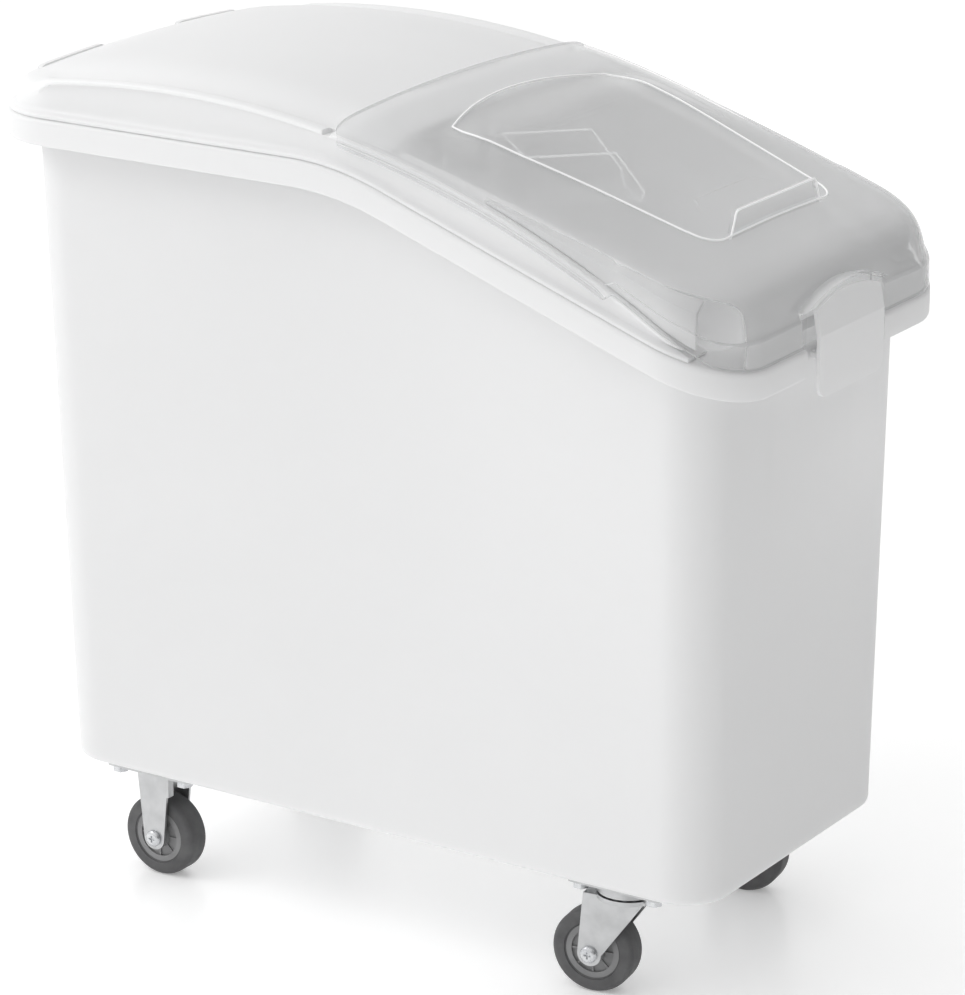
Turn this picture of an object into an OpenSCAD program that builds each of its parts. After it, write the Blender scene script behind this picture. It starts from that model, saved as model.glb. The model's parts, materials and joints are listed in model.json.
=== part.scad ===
// Rolling flour bin with a fixed rear lid, a sliding clear lid and four casters, in millimetres
// Z is up with the floor at zero, the slanted clear lid is at the +X end, the near long side is -Y

/* [Tub] */
// Length over the rim
rim_l = 750; // [720:1:780]
// Width over the rim
rim_w = 404; // [380:1:430]
// Height of the level rear part of the rim
rim_z = 706.5; // [690:0.5:730]
// Slope of the front part of the rim, in degrees
rim_slope = 19.5; // [18:0.5:20.5]
// Place of the bend in the rim, from the middle
bend_x = 2; // [0:1:20]
// Half the length of the bend
bend_run = 45; // [30:1:60]
// Height of the underside of the tub
base_z = 105; // [102:1:112]
// Wall of the tub
wall = 4; // [3:0.5:5]
// Floor of the tub
floor_t = 5; // [4.5:0.5:6]
// Overhang of the rim at the long sides
over_side = 28; // [24:1:32]
// Overhang of the rim at the rear
over_rear = 27; // [24:1:32]
// Overhang of the rim at the front
over_front = 32; // [28:1:36]
// Taper of each long side down to the floor
draft_side = 12.4; // [8:0.2:16]
// Taper of the rear wall
draft_rear = 14; // [8:0.5:18]
// Taper of the front wall
draft_front = 3; // [1:0.5:6]
// Corner radius of the tub walls
corner_r = 44; // [36:1:52]
// Rounding of the outer bottom edge
base_edge = 6; // [4:0.5:8]
// Rounding of the inner bottom edge
inner_edge = 3.5; // [2:0.25:4]
// Thickness of the rim
rim_t = 4; // [3:0.5:5]
// Depth of the turned-down rim
rim_h = 24; // [20:1:30]
// Rounding of the outer rim edge
rim_edge = 5; // [3:0.5:7]
// Fillet under the rim
rim_fillet = 14; // [8:1:20]
// Half width of the gap in the front rim
gap_half = 66; // [62:1:70]
// Thickness of the cheeks beside the gap
cheek_t = 4; // [3:0.5:6]

/* [Rear lid] */
// Distance of the rail centre behind the middle
slide_back = 177; // [170:1:185]
// Distance of the rail centre below the level rim
slide_drop = 897.5; // [890:0.5:905]
// Radius of the rail underside
rail_r = 934.5; // [930:0.5:938]
// Rise of the crown above the rail
lid_rise = 16; // [15:0.5:17]
// Fall of the crown to its shoulder
crown_fall = 5; // [4:0.5:6]
// Skin of the rear lid
lid_t = 3; // [2.5:0.25:3.5]
// Width of the rounded lid edge
lid_edge = 48; // [44:1:52]
// Setback of the lid flange from the rim edge
flange_in = 1.5; // [1:0.25:2.5]
// Setback of the band under the rail
band_in = 8.6; // [8:0.1:9.5]
// Thickness of the band
band_t = 3.2; // [2.5:0.1:4]
// Clearance between lid and rim
seat_gap = 0.3; // [0.2:0.1:0.6]
// Depth of the locating wall inside the tub
locate_h = 8; // [5:0.5:12]
// Thickness of the locating wall
locate_t = 2.5; // [2:0.25:3]
// Clearance of the locating wall to the tub
locate_gap = 2; // [1.5:0.25:3]
// Front edge of the rear lid
lid_front_x = 45; // [40:1:50]
// Setback of the front end of the rail arms from the rim
arm_in = 39; // [37:1:45]
// Width left of the arms inside the locating wall
arm_lip = 3; // [2:0.5:5]
// Setback of the inner side of the rail on the arms
rail_in = 10.8; // [10.5:0.1:12]
// Fall of the arm top below the rail underside
arm_fall = 2.2; // [1.8:0.1:2.6]
// Setback of the rear start of the rail from the rim
rail_start_in = 55; // [49:1:65]
// Length over which the rail comes up
rail_fade = 26; // [20:1:36]
// Height of the stop ribs
rib_h = 2.4; // [1.6:0.2:3]
// Thickness of the stop ribs
rib_t = 5; // [3:0.5:8]
// Setback of the stop ribs from the rear rim
rib_in = 27; // [23:1:33]
// Inner end of a stop rib
rib_y0 = 55; // [45:1:65]
// Outer end of a stop rib
rib_y1 = 143; // [135:1:146]
// Place of the middle ridge
ridge_x = -7; // [-14:1:-5]
// Half width of the middle ridge
ridge_half = 64; // [50:1:80]
// Height of the middle ridge
ridge_h = 1.6; // [1:0.2:2]
// Gap in the rail behind the clear lid
notch_l = 9; // [6:1:10]

/* [Clear lid] */
// Skin of the clear lid
clear_t = 2.5; // [2:0.25:3]
// Rise of the clear top above the level rim, at the middle
clear_rise = 43.5; // [43:0.25:45]
// Fall of the clear top, in degrees
clear_fall = 13.63; // [13:0.1:14.2]
// Bow of the clear top at the front end
clear_bow = 22; // [20:0.5:24]
// Clearance of the hook under the rail
hook_gap = 1.2; // [0.8:0.1:1.6]
// Thickness of the hook
hook_t = 2; // [1.5:0.25:2.5]
// Reach of the hook under the rail
hook_in = 4; // [3:0.25:4.5]
// Setback of the front end of the hook from the rim
hook_end_in = 113; // [105:1:125]
// Setback of the clear wall from the rim edge
clear_in = 1; // [0.75:0.25:1.5]
// Clearance of the clear wall over the rail
over_gap = 1.2; // [1:0.1:1.6]
// Clearance of the front wall over the rim
skirt_gap = 0.8; // [0.6:0.1:1.2]
// Rounding of the rear corners
clear_r = 12; // [8:1:16]
// Half width of the arch over the latch
arch_half = 68; // [64:1:72]
// Rise of the arch crown above the front rim
arch_rise = 44.5; // [40:0.5:48]
// Radius of the arch
arch_r = 169; // [150:1:200]
// Depth of the lip around the arch
visor_l = 16; // [12:1:20]
// Thickness of the lip around the arch
visor_t = 2.5; // [2:0.25:3]
// Setback of the front of the raised push grip from the rim
grip_in = 69; // [63:1:77]
// Half width of the grip at its rear corners
grip_rear_half = 115; // [105:1:122]
// Half width of the grip at its front corners
grip_front_half = 97; // [90:1:104]
// Corner radius of the grip
grip_r = 22; // [16:1:28]
// Place of the rear corners of the grip
grip_rear_x = 66; // [60:1:72]
// Depth of the arched rear end of the grip
grip_sag = 23; // [18:1:28]
// Height of the grip's upright face
grip_h = 20; // [16:0.5:22]
// Lean of the grip's faces
grip_lean = 7; // [5:0.5:9]
// Rear end of the white runners
runner_x0 = 60; // [50:1:80]
// Thickness of the white runners
runner_t = 2.4; // [2:0.2:3]
// Clearance of the runners to the rail and the clear wall
runner_gap = 0.5; // [0.4:0.1:0.7]

/* [Latch] */
// Stand of the latch face in front of the rim
latch_proud = 5; // [4:0.5:8]
// Width of the latch
latch_w = 110; // [100:1:116]
// Thickness of the latch
latch_t = 3.5; // [3:0.25:4.5]
// Fall of the latch foot below the front rim
latch_foot = 44; // [40:1:52]
// Rise of the crease above the front rim
latch_crease = 9; // [6:1:12]
// Clearance of the latch under the arch
latch_gap = 5.5; // [5:0.25:7]
// Lean of the latch nose
latch_lean = 7; // [4:0.5:9]
// Radius of the latch pin
pin_r = 3; // [2.5:0.25:3.5]
// Running clearance on the latch pin
pin_gap = 0.06; // [0.04:0.01:0.1]
// Pin setback from the rim front
pin_in = 14; // [12:0.5:16]
// Pin fall below the front rim
pin_fall = 9; // [8:0.5:11]
// Wall of the latch barrel
barrel_t = 3; // [2.5:0.25:3.5]
// Side clearance of the latch barrel
barrel_gap = 1; // [0.6:0.1:2]
// Corner radius of the latch foot
latch_r = 12; // [8:1:18]

/* [Scoop] */
// Place of the scoop mouth along the bin
scoop_x = 119; // [112:1:122]
// Place of the scoop mouth across the bin
scoop_y = 82; // [70:1:88]
// Fall of the scoop rim below the level tub rim
scoop_fall = 20; // [18:1:30]
// Turn of the scoop, in degrees
scoop_turn = 45; // [40:1:50]
// Width of the scoop bowl
bowl_w = 90; // [84:1:98]
// Length of the scoop bowl
bowl_l = 105; // [95:1:112]
// Depth of the scoop bowl
bowl_h = 48; // [40:1:56]
// Wall of the scoop
bowl_t = 2.5; // [2:0.25:3]
// Corner radius of the bowl
bowl_r = 26; // [20:1:32]
// Cut back of the mouth at its top
mouth_l = 26; // [18:1:34]
// Length of the handle
handle_l = 96; // [86:1:104]
// Width of the handle
handle_w = 26; // [22:1:30]
// Thickness of the handle
handle_t = 8; // [6:0.5:10]
// Fall of the handle below the scoop rim
handle_fall = 8; // [6:0.5:12]
// Thickness of the cradle plates under the lid
cradle_t = 3; // [2.5:0.25:4]
// Width of the cradle around the handle
cradle_rim = 8; // [6:0.5:10]
// Clearance of the handle in the cradle
cradle_gap = 0.7; // [0.5:0.1:1]

/* [Casters] */
// Wheel diameter
wheel_d = 75; // [70:1:80]
// Wheel width
wheel_w = 25; // [22:1:28]
// Distance of the wheels from the middle line
wheel_y = 129; // [124:1:131]
// Setback of the rear casters from the rim
rear_in = 134; // [125:1:143]
// Setback of the front kingpins from the rim
king_in = 126; // [119:1:135]
// Trail of the front casters
trail = 28; // [24:1:32]
// Rest turn of the front casters, in degrees
swivel_turn = 8; // [0:1:15]
// Length of the mounting plates
plate_l = 92; // [88:1:98]
// Width of the mounting plates
plate_w = 54; // [52:0.5:56]
// Thickness of the mounting plates
plate_t = 3; // [2.5:0.25:4]
// Corner radius of the mounting plates
plate_r = 5; // [4:0.5:7]
// Bolt spacing along the bin
bolt_sx = 72; // [68:1:76]
// Bolt spacing across the bin
bolt_sy = 36; // [35:0.5:38]
// Bolt radius
bolt_r = 4; // [3.5:0.25:4.5]
// Clearance of the bolt holes
bolt_gap = 0.25; // [0.15:0.05:0.4]
// Radius of the countersunk bolt heads
head_r = 6.8; // [6.2:0.1:7]
// Depth of the countersunk bolt heads
head_h = 2.8; // [2.4:0.1:3.2]
// Nut width across flats
nut_af = 13; // [12:0.5:14]
// Nut height
nut_h = 6; // [5:0.25:6.25]
// Bolt end below the nut
bolt_end = 1; // [0.5:0.25:1]
// Inside width of the forks
fork_gap = 32; // [30:0.5:34]
// Sheet of the forks
fork_t = 2.5; // [2:0.25:3]
// Half width of the rear fork leg at its top
leg_half = 17.5; // [15:0.5:20]
// Radius of the fork leg around the axle
leg_r = 11; // [10:0.5:13]
// Width of the folded fork edge
fold_w = 5; // [4:0.5:6]
// Radius of the swivel race
race_r = 28; // [26:0.5:29]
// Thickness of the race rings
race_t = 4; // [3.5:0.25:4.5]
// Gap between the race rings
race_gap = 1.2; // [1:0.1:1.6]
// Ring height under the mounting plate
ring_h = 6.2; // [5.5:0.1:6.5]
// Radius of the ball circle
ball_pcd_r = 20.5; // [19:0.5:22]
// Radius of the balls
ball_r = 3; // [2.5:0.1:3.2]
// Clearance of the balls in their grooves
ball_gap = 0.15; // [0.1:0.05:0.2]
// Balls in each race
ball_n = 16; // [12:1:18]
// Kingpin radius
king_r = 5; // [4.5:0.25:6]
// Running clearance on the kingpin
king_gap = 0.06; // [0.04:0.01:0.1]
// Kingpin head radius
king_head_r = 9; // [8:0.5:10]
// Kingpin head height
king_head_h = 3.5; // [3:0.25:4.5]
// Clearance over the kingpin head
king_lift = 0.3; // [0.2:0.05:0.5]
// Upper rivet head of the kingpin
king_top_r = 8; // [7:0.25:9]
// Height of the upper rivet head
king_top_h = 1.2; // [0.8:0.1:1.5]
// Axle radius
axle_r = 4; // [3.5:0.25:4.5]
// Radius of the axle head
axle_head_r = 7.5; // [7:0.25:8.5]
// Height of the axle head
axle_head_h = 4.2; // [3.5:0.1:5]
// Recess in the axle head
recess_l = 6.4; // [5:0.2:7]
// Width of the recess
recess_w = 1.5; // [1.2:0.1:1.8]
// Depth of the recess
recess_h = 2; // [1.5:0.1:2.5]
// Height of the axle nut
axle_nut_h = 5.5; // [5:0.25:6.5]
// Outer radius of the axle sleeve
sleeve_r = 6; // [5.5:0.25:7]
// Running clearance of the wheel on its sleeve
sleeve_gap = 0.06; // [0.04:0.01:0.1]
// Side clearance of the wheel hub
hub_gap = 0.6; // [0.4:0.1:1]
// Radius of the hub boss
boss_r = 11; // [10:0.5:13]
// Outer radius of the hub
hub_r = 24.5; // [24:0.5:28]
// Thickness of the hub web
web_t = 17; // [12:0.5:18]
// Depth of the hub rim
hub_rim_t = 5; // [4:0.5:6]
// Width of the hub rim
hub_rim_w = 22; // [20:0.5:23]
// Radial ribs on each side of the hub
hub_rib_n = 8; // [6:1:12]
// Thickness of the hub ribs
hub_rib_t = 1.6; // [1.2:0.1:2]
// Fall of the hub ribs below the hub rim
hub_rib_fall = 1; // [0.5:0.25:1.5]
// Rounding of the tread
tread_r = 5; // [3:0.5:7]

/* [Hidden] */
$fn = 48;

origin_x = -latch_proud / 2;
half_l = rim_l / 2;
half_w = rim_w / 2;
rim_r = corner_r + over_side;
arm_end_x = half_l - arm_in;
hook_end_x = half_l - hook_end_in;
grip_x = half_l - grip_in;
king_x = half_l - king_in;
rail_start_x = rail_start_in - half_l;
rib_x = rib_in - half_l;
rear_x = rear_in - half_l;
slide_x = -slide_back;
slide_z = rim_z - slide_drop;
corner_n = 5;
end_shares = [-0.6, -0.2, 0.2, 0.6];
curve_shares = [0, 0.293, 1];
bend_shares = [-1, -0.5, 0, 0.5, 1];
bend_xs = [for (u = bend_shares) bend_x + u * bend_run];
front_z = rim_z - tan(rim_slope) * (half_l - bend_x);
wheel_r = wheel_d / 2;
nut_r = nut_af / sqrt(3);
plate_z = base_z - plate_t;

function mix(a, b, t) = a * (1 - t) + b * t;
function ramp(x, a, b) = min(1, max(0, (x - a) / (b - a)));
function rim_top(x) = let (u = x - bend_x, k = tan(rim_slope)) rim_z
    - (u < -bend_run ? 0 : u > bend_run ? k * u : k * pow(u + bend_run, 2) / (4 * bend_run));
function arc_z(r, x) = slide_z + sqrt(r * r - pow(x - slide_x, 2));

// Closed rings, counter-clockwise from above. A frame is rear x, front x, half width, corner
// radius and the bulge of the two ends.
function corner(f, sx, sy, a0) = [for (i = [0 : corner_n]) let (a = a0 + 90 * i / corner_n)
    [(sx > 0 ? f[1] - f[3] : f[0] + f[3]) + f[3] * cos(a), sy * (f[2] - f[3]) + f[3] * sin(a)]];
function run_x(f, s) = mix(f[0] + f[3], f[1] - f[3], s);
function ring(f, shares) = let (y = f[2] - f[3]) concat(
    corner(f, 1, -1, -90), [for (s = end_shares) [f[1] + f[4] * (1 - s * s), s * y]],
    corner(f, 1, 1, 0), [for (i = [len(shares) - 1 : -1 : 0]) [run_x(f, shares[i]), f[2]]],
    corner(f, -1, 1, 90), [for (s = end_shares) [f[0] - f[4] * (1 - s * s), -s * y]],
    corner(f, -1, -1, 180), [for (s = shares) [run_x(f, s), -f[2]]]);

// Skin between a stack of rings of n points each, m rings in all
function skin(m, n) = [for (k = [0 : m - 2], i = [0 : n - 1], t = [0, 1])
    let (a = k * n + i, b = k * n + (i + 1) % n) t == 0 ? [a, a + n, b + n] : [a, b + n, b]];
// Cap across a ring, joining each point to its mirror image
function cap(o, n, up) = let (c = corner_n + 3) [for (j = [0 : n / 2 - 2], t = [0, 1])
    let (p = o + (c + j) % n, q = o + (c + j + 1) % n, u = o + (c - 1 - j + n) % n,
        v = o + (c - 2 - j + n) % n)
    t == 0 ? (up ? [p, v, q] : [p, q, v]) : (up ? [p, u, v] : [p, v, u])];
module loft(rings) {
    m = len(rings);
    n = len(rings[0]);
    polyhedron(points = [for (r = rings) each r],
        faces = concat(skin(m, n), cap(0, n, false), cap((m - 1) * n, n, true)), convexity = 12);
}
module place() translate([origin_x, 0, 0]) children();
module along_x(l) rotate([90, 0, 90]) linear_extrude(height = l, convexity = 6) children();
module along_y(l) translate([0, l, 0]) rotate([90, 0, 0])
    linear_extrude(height = l, convexity = 6) children();

// Tub

function rim_share(x) = (x + half_l - rim_r) / (rim_l - 2 * rim_r);
tub_shares = [for (x = bend_xs) rim_share(x)];
function wall_frame(k, d) = [d - half_l + over_rear + draft_rear * (1 - k),
    half_l - over_front - draft_front * (1 - k) - d, half_w - over_side - draft_side * (1 - k) - d,
    corner_r - d, d > 0 ? wall / 8 : 0];
function rim_frame(k) = [-half_l + over_rear * (1 - k), half_l - over_front * (1 - k),
    half_w - over_side * (1 - k), corner_r + over_side * k, 0];
function flat_ring(f, z) = [for (p = ring(f, tub_shares)) [p[0], p[1], z]];
function rim_ring(f, dz) = [for (p = ring(f, tub_shares)) [p[0], p[1], rim_top(p[0]) + dz]];
// Fillet under the rim: way out as a share of the overhang, height as a share of the fillet
fillet_shares = [[0.05, 0.45], [0.2, 0.1], [0.45, 0]];
edge_k = rim_edge / over_side;
tub_rings = [
    for (s = [0 : 2]) flat_ring(wall_frame(0, base_edge * curve_shares[2 - s]),
        base_z + base_edge * curve_shares[s]),
    rim_ring(wall_frame(1, 0), -rim_t - rim_fillet),
    for (e = fillet_shares) rim_ring(rim_frame(e[0]), -rim_t - rim_fillet * e[1]),
    rim_ring(rim_frame(1 - rim_t / over_side), -rim_t),
    rim_ring(rim_frame(1 - rim_t / over_side), -rim_h),
    rim_ring(rim_frame(1), -rim_h),
    rim_ring(rim_frame(1), -rim_edge),
    rim_ring(rim_frame(1 - edge_k * curve_shares[1]), -rim_edge * curve_shares[1]),
    rim_ring(rim_frame(1 - edge_k), 0),
    rim_ring(wall_frame(1, wall / 2), 0),
    rim_ring(wall_frame(1, wall), -wall / 2),
    flat_ring(wall_frame(0, wall), base_z + floor_t + inner_edge),
    flat_ring(wall_frame(0, wall + inner_edge * curve_shares[1]),
        base_z + floor_t + inner_edge * curve_shares[1]),
    flat_ring(wall_frame(0, wall + inner_edge), base_z + floor_t)];
wall_x = half_l - over_front;
pin_x = half_l - pin_in;
pin_z = front_z - pin_fall;

module cheek(y) translate([0, y, 0]) along_y(cheek_t) polygon([
    [wall_x - wall / 2, rim_top(wall_x - wall / 2) - rim_t / 2],
    [half_l - rim_t / 2, front_z + tan(rim_slope) * rim_t / 2 - rim_t / 2],
    [half_l - rim_t / 2, front_z - rim_h + rim_t / 2], [wall_x - wall / 2, front_z - rim_h + rim_t / 2]]);
module bolt_places() for (x = [rear_x, king_x], y = [-wheel_y, wheel_y], i = [-1, 1], j = [-1, 1])
    translate([x + i * bolt_sx / 2, y + j * bolt_sy / 2, 0]) children();
module bolt_head() translate([0, 0, base_z + floor_t - head_h])
    cylinder(r1 = bolt_r, r2 = head_r, h = head_h);
module tub() color("white") place() difference() {
    union() {
        difference() {
            loft(tub_rings);
            translate([wall_x + wall / 2, -gap_half, front_z - rim_h * 2])
                cube([over_front * 2, gap_half * 2, rim_h * 4]);
        }
        cheek(-gap_half - cheek_t);
        cheek(gap_half);
    }
    bolt_places() {
        translate([0, 0, base_z - floor_t]) cylinder(r = bolt_r + bolt_gap, h = floor_t * 3);
        bolt_head();
    }
    translate([pin_x, -gap_half - cheek_t * 2, pin_z]) rotate([-90, 0, 0])
        cylinder(r = pin_r, h = gap_half * 2 + cheek_t * 4);
}

// Rear lid

rear_run_shares = [0, 0.215, 0.454, 0.693];
front_run_shares = [0.11, 0.285, 0.48, 0.676, 0.857, 0.973];
lid_xs = concat([for (s = rear_run_shares) mix(rail_start_x + rail_fade, bend_xs[0], s)], bend_xs,
    [for (s = front_run_shares) mix(bend_xs[4], half_l - rim_r, s)]);
lid_shares = [for (x = lid_xs) rim_share(x)];
lid_small_r = lid_t;
function lid_frame(d) = let (r = max(rim_r - d, lid_small_r)) [d - half_l, half_l - d, half_w - d, r,
    d > rim_r ? lid_small_r / 2 : 0];
function crown(y) = lid_rise - crown_fall * pow(y / (half_w * crown_half_share), 2);
crown_half_share = 0.703;
function lid_top(x, y) = arc_z(rail_r + crown(y), x);
function rail_w(x) = ramp(x, rail_start_x, rail_start_x + rail_fade);
// Outer rows: inset at the rear, height share at the rear, inset at the rail, rise over the rail
edge_shares = [[0.188, 0.45, 0.181, 0], [0.208, 0.60, 0.108, 0.02], [0.24, 0.70, 0.1, 0.175],
    [0.292, 0.79, 0.135, 0.263], [0.365, 0.83, 0.188, 0.281], [0.448, 0.855, 0.333, 0.281],
    [0.542, 0.88, 0.396, 0.19], [0.646, 0.90, 0.458, 0.094], [0.792, 0.93, 0.583, 0.2],
    [0.94, 0.965, 0.792, 0.438], [1.125, 0.99, 1.083, 0.613]];
rail_top_share = 0.281;
top_shares = [0.37, 0.545, 0.742, 0.965];
step_min = lid_t / 8;
function lid_row(da, db) = let (a = ring(lid_frame(da), lid_shares), b = ring(lid_frame(db), lid_shares))
    [for (i = [0 : len(a) - 1]) let (w = rail_w(b[i][0]), p = mix(a[i], b[i], w)) [p[0], p[1], w]];
function edge_row(k) = let (e = edge_shares[k]) [for (p = lid_row(e[0] * lid_edge, e[2] * lid_edge))
    let (base = rim_top(p[0])) [p[0], p[1], mix(mix(base, lid_top(p[0], p[1]), e[1]),
        max(arc_z(rail_r + e[3] * lid_rise, p[0]), base + lid_t * 2 + (k + 2) * step_min), p[2])]];
function top_row(d, dz) = [for (p = ring(lid_frame(d), lid_shares)) [p[0], p[1],
    max(lid_top(p[0], p[1]), rim_top(p[0]) + lid_t * 4) + dz]];
function rim_row(d, dz) = [for (p = ring(lid_frame(d), lid_shares)) [p[0], p[1], rim_top(p[0]) + dz]];
function band_row(d, s) = [for (p = ring(lid_frame(d), lid_shares)) let (base = rim_top(p[0])) [p[0], p[1],
    base + max(lid_t * 2 + step_min, s * (arc_z(rail_r, p[0]) - base))]];
band_share = 0.3;
flange_share = 0.7;
// Underside of the skin near the edge: it drops under the arms to make room for the clear lid
function under_row(da, db, g, k) = [for (p = lid_row(da, db)) let (base = rim_top(p[0]),
    drop = mix(lid_t - step_min * 2, lid_t * 2 + arm_fall / 4,
        ramp(p[0], lid_front_x - lid_t * 9, lid_front_x - lid_t * 2)))
    [p[0], p[1], mix(mix(base, lid_top(p[0], p[1]), g) - lid_t,
        max(arc_z(rail_r - drop, p[0]), base + seat_gap + step_min * k), p[2])]];
locate_in = over_side + wall + locate_gap;
function locate_row(d) = [for (p = ring(lid_frame(d), lid_shares)) [p[0], p[1], rim_top(p[0])
    + mix(-locate_h, seat_gap + step_min / 2,
        ramp(p[0], half_l - rim_r - rim_h, half_l - rim_r - rim_h / 2))]];
under_shares = [0.9, 0.82, 0.5];
lid_rings = [
    for (i = [3 : -1 : 0]) top_row(half_w * top_shares[i], -lid_t),
    under_row(locate_in + locate_t, locate_in + locate_t, under_shares[0], 3),
    locate_row(locate_in + locate_t),
    locate_row(locate_in),
    under_row(locate_in, locate_in, under_shares[0], 3),
    under_row(lid_edge / 2, lid_edge / 2, under_shares[1], 3),
    under_row(lid_edge / 3, band_in + band_t + step_min, under_shares[2], 2),
    rim_row(band_in + band_t, seat_gap),
    rim_row(flange_in, seat_gap),
    rim_row(flange_in, seat_gap + lid_t),
    rim_row(mix(flange_in, band_in, flange_share), seat_gap + lid_t * (1 + flange_share)),
    band_row(band_in, band_share),
    for (k = [0 : len(edge_shares) - 1]) edge_row(k),
    for (s = top_shares) top_row(half_w * s, 0)];
window_half = half_w - locate_in - locate_t - arm_lip;
arm_r = rail_r - arm_fall;
arm_n = 24;
function arm_top(x) = max(arc_z(arm_r, x), rim_top(x) + seat_gap + lid_t);
cut_z = rim_z + lid_rise * 5;
cradle_shares = [0.25, 0.68];

rib_share = 0.882;
function rib_z(y) = mix(rim_z, lid_top(rib_x, y), rib_share);
module rib(y0, y1) translate([rib_x - rib_t / 2, 0, 0]) along_x(rib_t) polygon(concat(
    [for (t = [0 : 0.25 : 1]) let (y = mix(y0, y1, t)) [y, rib_z(y) - lid_t * 0.6]],
    [for (t = [1 : -0.25 : 0]) let (y = mix(y0, y1, t)) [y, rib_z(y) + rib_h]]));
module ridge() translate([ridge_x - rib_t / 2, 0, 0]) along_x(rib_t) polygon(concat(
    [for (t = [-1 : 0.25 : 1]) [t * ridge_half, lid_top(ridge_x, t * ridge_half) - lid_t / 2]],
    [for (t = [1 : -0.25 : -1]) [t * ridge_half, lid_top(ridge_x, t * ridge_half) + ridge_h]]));
module scoop_place() translate([scoop_x, scoop_y, rim_z - scoop_fall]) rotate([0, 0, scoop_turn]) children();
function scoop_at(u, v) = [scoop_x + u * cos(scoop_turn) - v * sin(scoop_turn),
    scoop_y + u * sin(scoop_turn) + v * cos(scoop_turn)];
cradle_half = handle_w / 2 + cradle_gap + cradle_rim;
function cradle_top(u, v) = let (p = scoop_at(u, v))
    arc_z(rail_r + crown(p[1]) - lid_t / 2, p[0]) - rim_z + scoop_fall;
module cradle(s) {
    u = -bowl_l - handle_l * s;
    low = -handle_fall - handle_t - cradle_gap - cradle_rim / 2;
    scoop_place() translate([u - cradle_t / 2, 0, 0]) along_x(cradle_t) difference() {
        polygon([[-cradle_half, low], [cradle_half, low], [cradle_half, cradle_top(u, cradle_half)],
            [-cradle_half, cradle_top(u, -cradle_half)]]);
        translate([-handle_w / 2 - cradle_gap, -handle_fall - handle_t - cradle_gap])
            square([handle_w + cradle_gap * 2, handle_t + cradle_gap * 2]);
    }
}
// Notch: reach inside and outside the rim as shares of the lid edge, foot as a share of the rise
notch_shares = [0.42, 0.2, 0.06];
module notch(s) {
    a = asin((ridge_x - slide_x) / rail_r);
    y = s > 0 ? half_w - lid_edge * notch_shares[0] : -half_w - lid_edge * notch_shares[1];
    translate([slide_x, y, slide_z]) rotate([0, a, 0])
        translate([-notch_l / 2, 0, rail_r + lid_rise * notch_shares[2]])
            cube([notch_l, lid_edge * (notch_shares[0] + notch_shares[1]), lid_rise * 2]);
}
module rear_lid() color("ghostwhite") place() difference() {
    union() {
        loft(lid_rings);
        rib(rib_y0, rib_y1);
        rib(-rib_y0, -rib_y1);
        ridge();
        for (s = cradle_shares) cradle(s);
    }
    translate([lid_front_x, -window_half, front_z - rim_h * 2]) cube([rim_l, window_half * 2, rim_l]);
    translate([arm_end_x, -rim_w, front_z - rim_h * 2]) cube([rim_l, rim_w * 2, rim_l]);
    translate([0, -half_w + rail_in, 0]) along_y(rim_w - rail_in * 2) polygon(concat(
        [[lid_front_x, cut_z]],
        [for (i = [0 : arm_n]) let (x = mix(lid_front_x, half_l, i / arm_n)) [x, arm_top(x)]],
        [[half_l, cut_z]]));
    notch(-1);
    notch(1);
}

// Clear lid

tail_x = -lid_edge * 1.7;
clear_run_shares = [0.03, 0.12, 0.24, 0.36, 0.48, 0.6];
clear_end_share = 0.68;
hook_fade = hook_in * 2;
clear_xs = concat([for (s = clear_run_shares) s * half_l],
    [hook_end_x - hook_fade, hook_end_x, hook_end_x + hook_fade,
        mix(hook_end_x + hook_fade, half_l - rim_r, clear_end_share)]);
clear_z = rim_z + clear_rise;
function clear_top(x, y) = clear_z - tan(clear_fall) * x - clear_bow * pow(x / half_l, 2)
    - crown_fall * pow(y / (half_w * crown_half_share), 2);
hook_r = rail_r - hook_gap;
rail_top_r = rail_r + lid_rise * rail_top_share;
lift_r = rail_top_r + over_gap;
hook_min_share = 0.1;
function hook_w(x) = 1 - ramp(x, hook_end_x, hook_end_x + hook_fade);
function hook_reach(x) = max(hook_min_share, 1 - ramp(x, hook_end_x - hook_fade, hook_end_x));
function skirt_z(x) = max(rim_top(x) + skirt_gap, arc_z(rail_r + hook_t, x));
function skirt_w(x) = ramp(x, arm_end_x + hook_gap, arm_end_x + hook_gap + rim_r / 3);
function clear_low(x) = mix(mix(arc_z(lift_r, x), skirt_z(x), skirt_w(x)),
    arc_z(hook_r - hook_t, x), hook_w(x));
function clear_frame(d) = [tail_x + d, half_l - d, half_w - d, max(rim_r - d, lid_small_r), 0];
clear_shares = [for (x = clear_xs) (x - tail_x - rim_r) / (half_l - tail_x - 2 * rim_r)];
// Outer rows: inset, height share, and the inner skin's step in and step down as shares of the skin
shell_shares = [[0.025, 0.37, 0.92, 0.5], [0.083, 0.40, 0.92, 0.7], [0.177, 0.71, 0.84, 0.6],
    [0.271, 0.84, 0.64, 0.8], [0.417, 0.93, 0.4, 0.92], [0.667, 0.985, 0.2, 1]];
function shell_in(k) = max(shell_shares[k][0] * lid_edge, clear_in + step_min);
function skin_in(k) = shell_in(k) + shell_shares[k][2] * clear_t;
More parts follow.
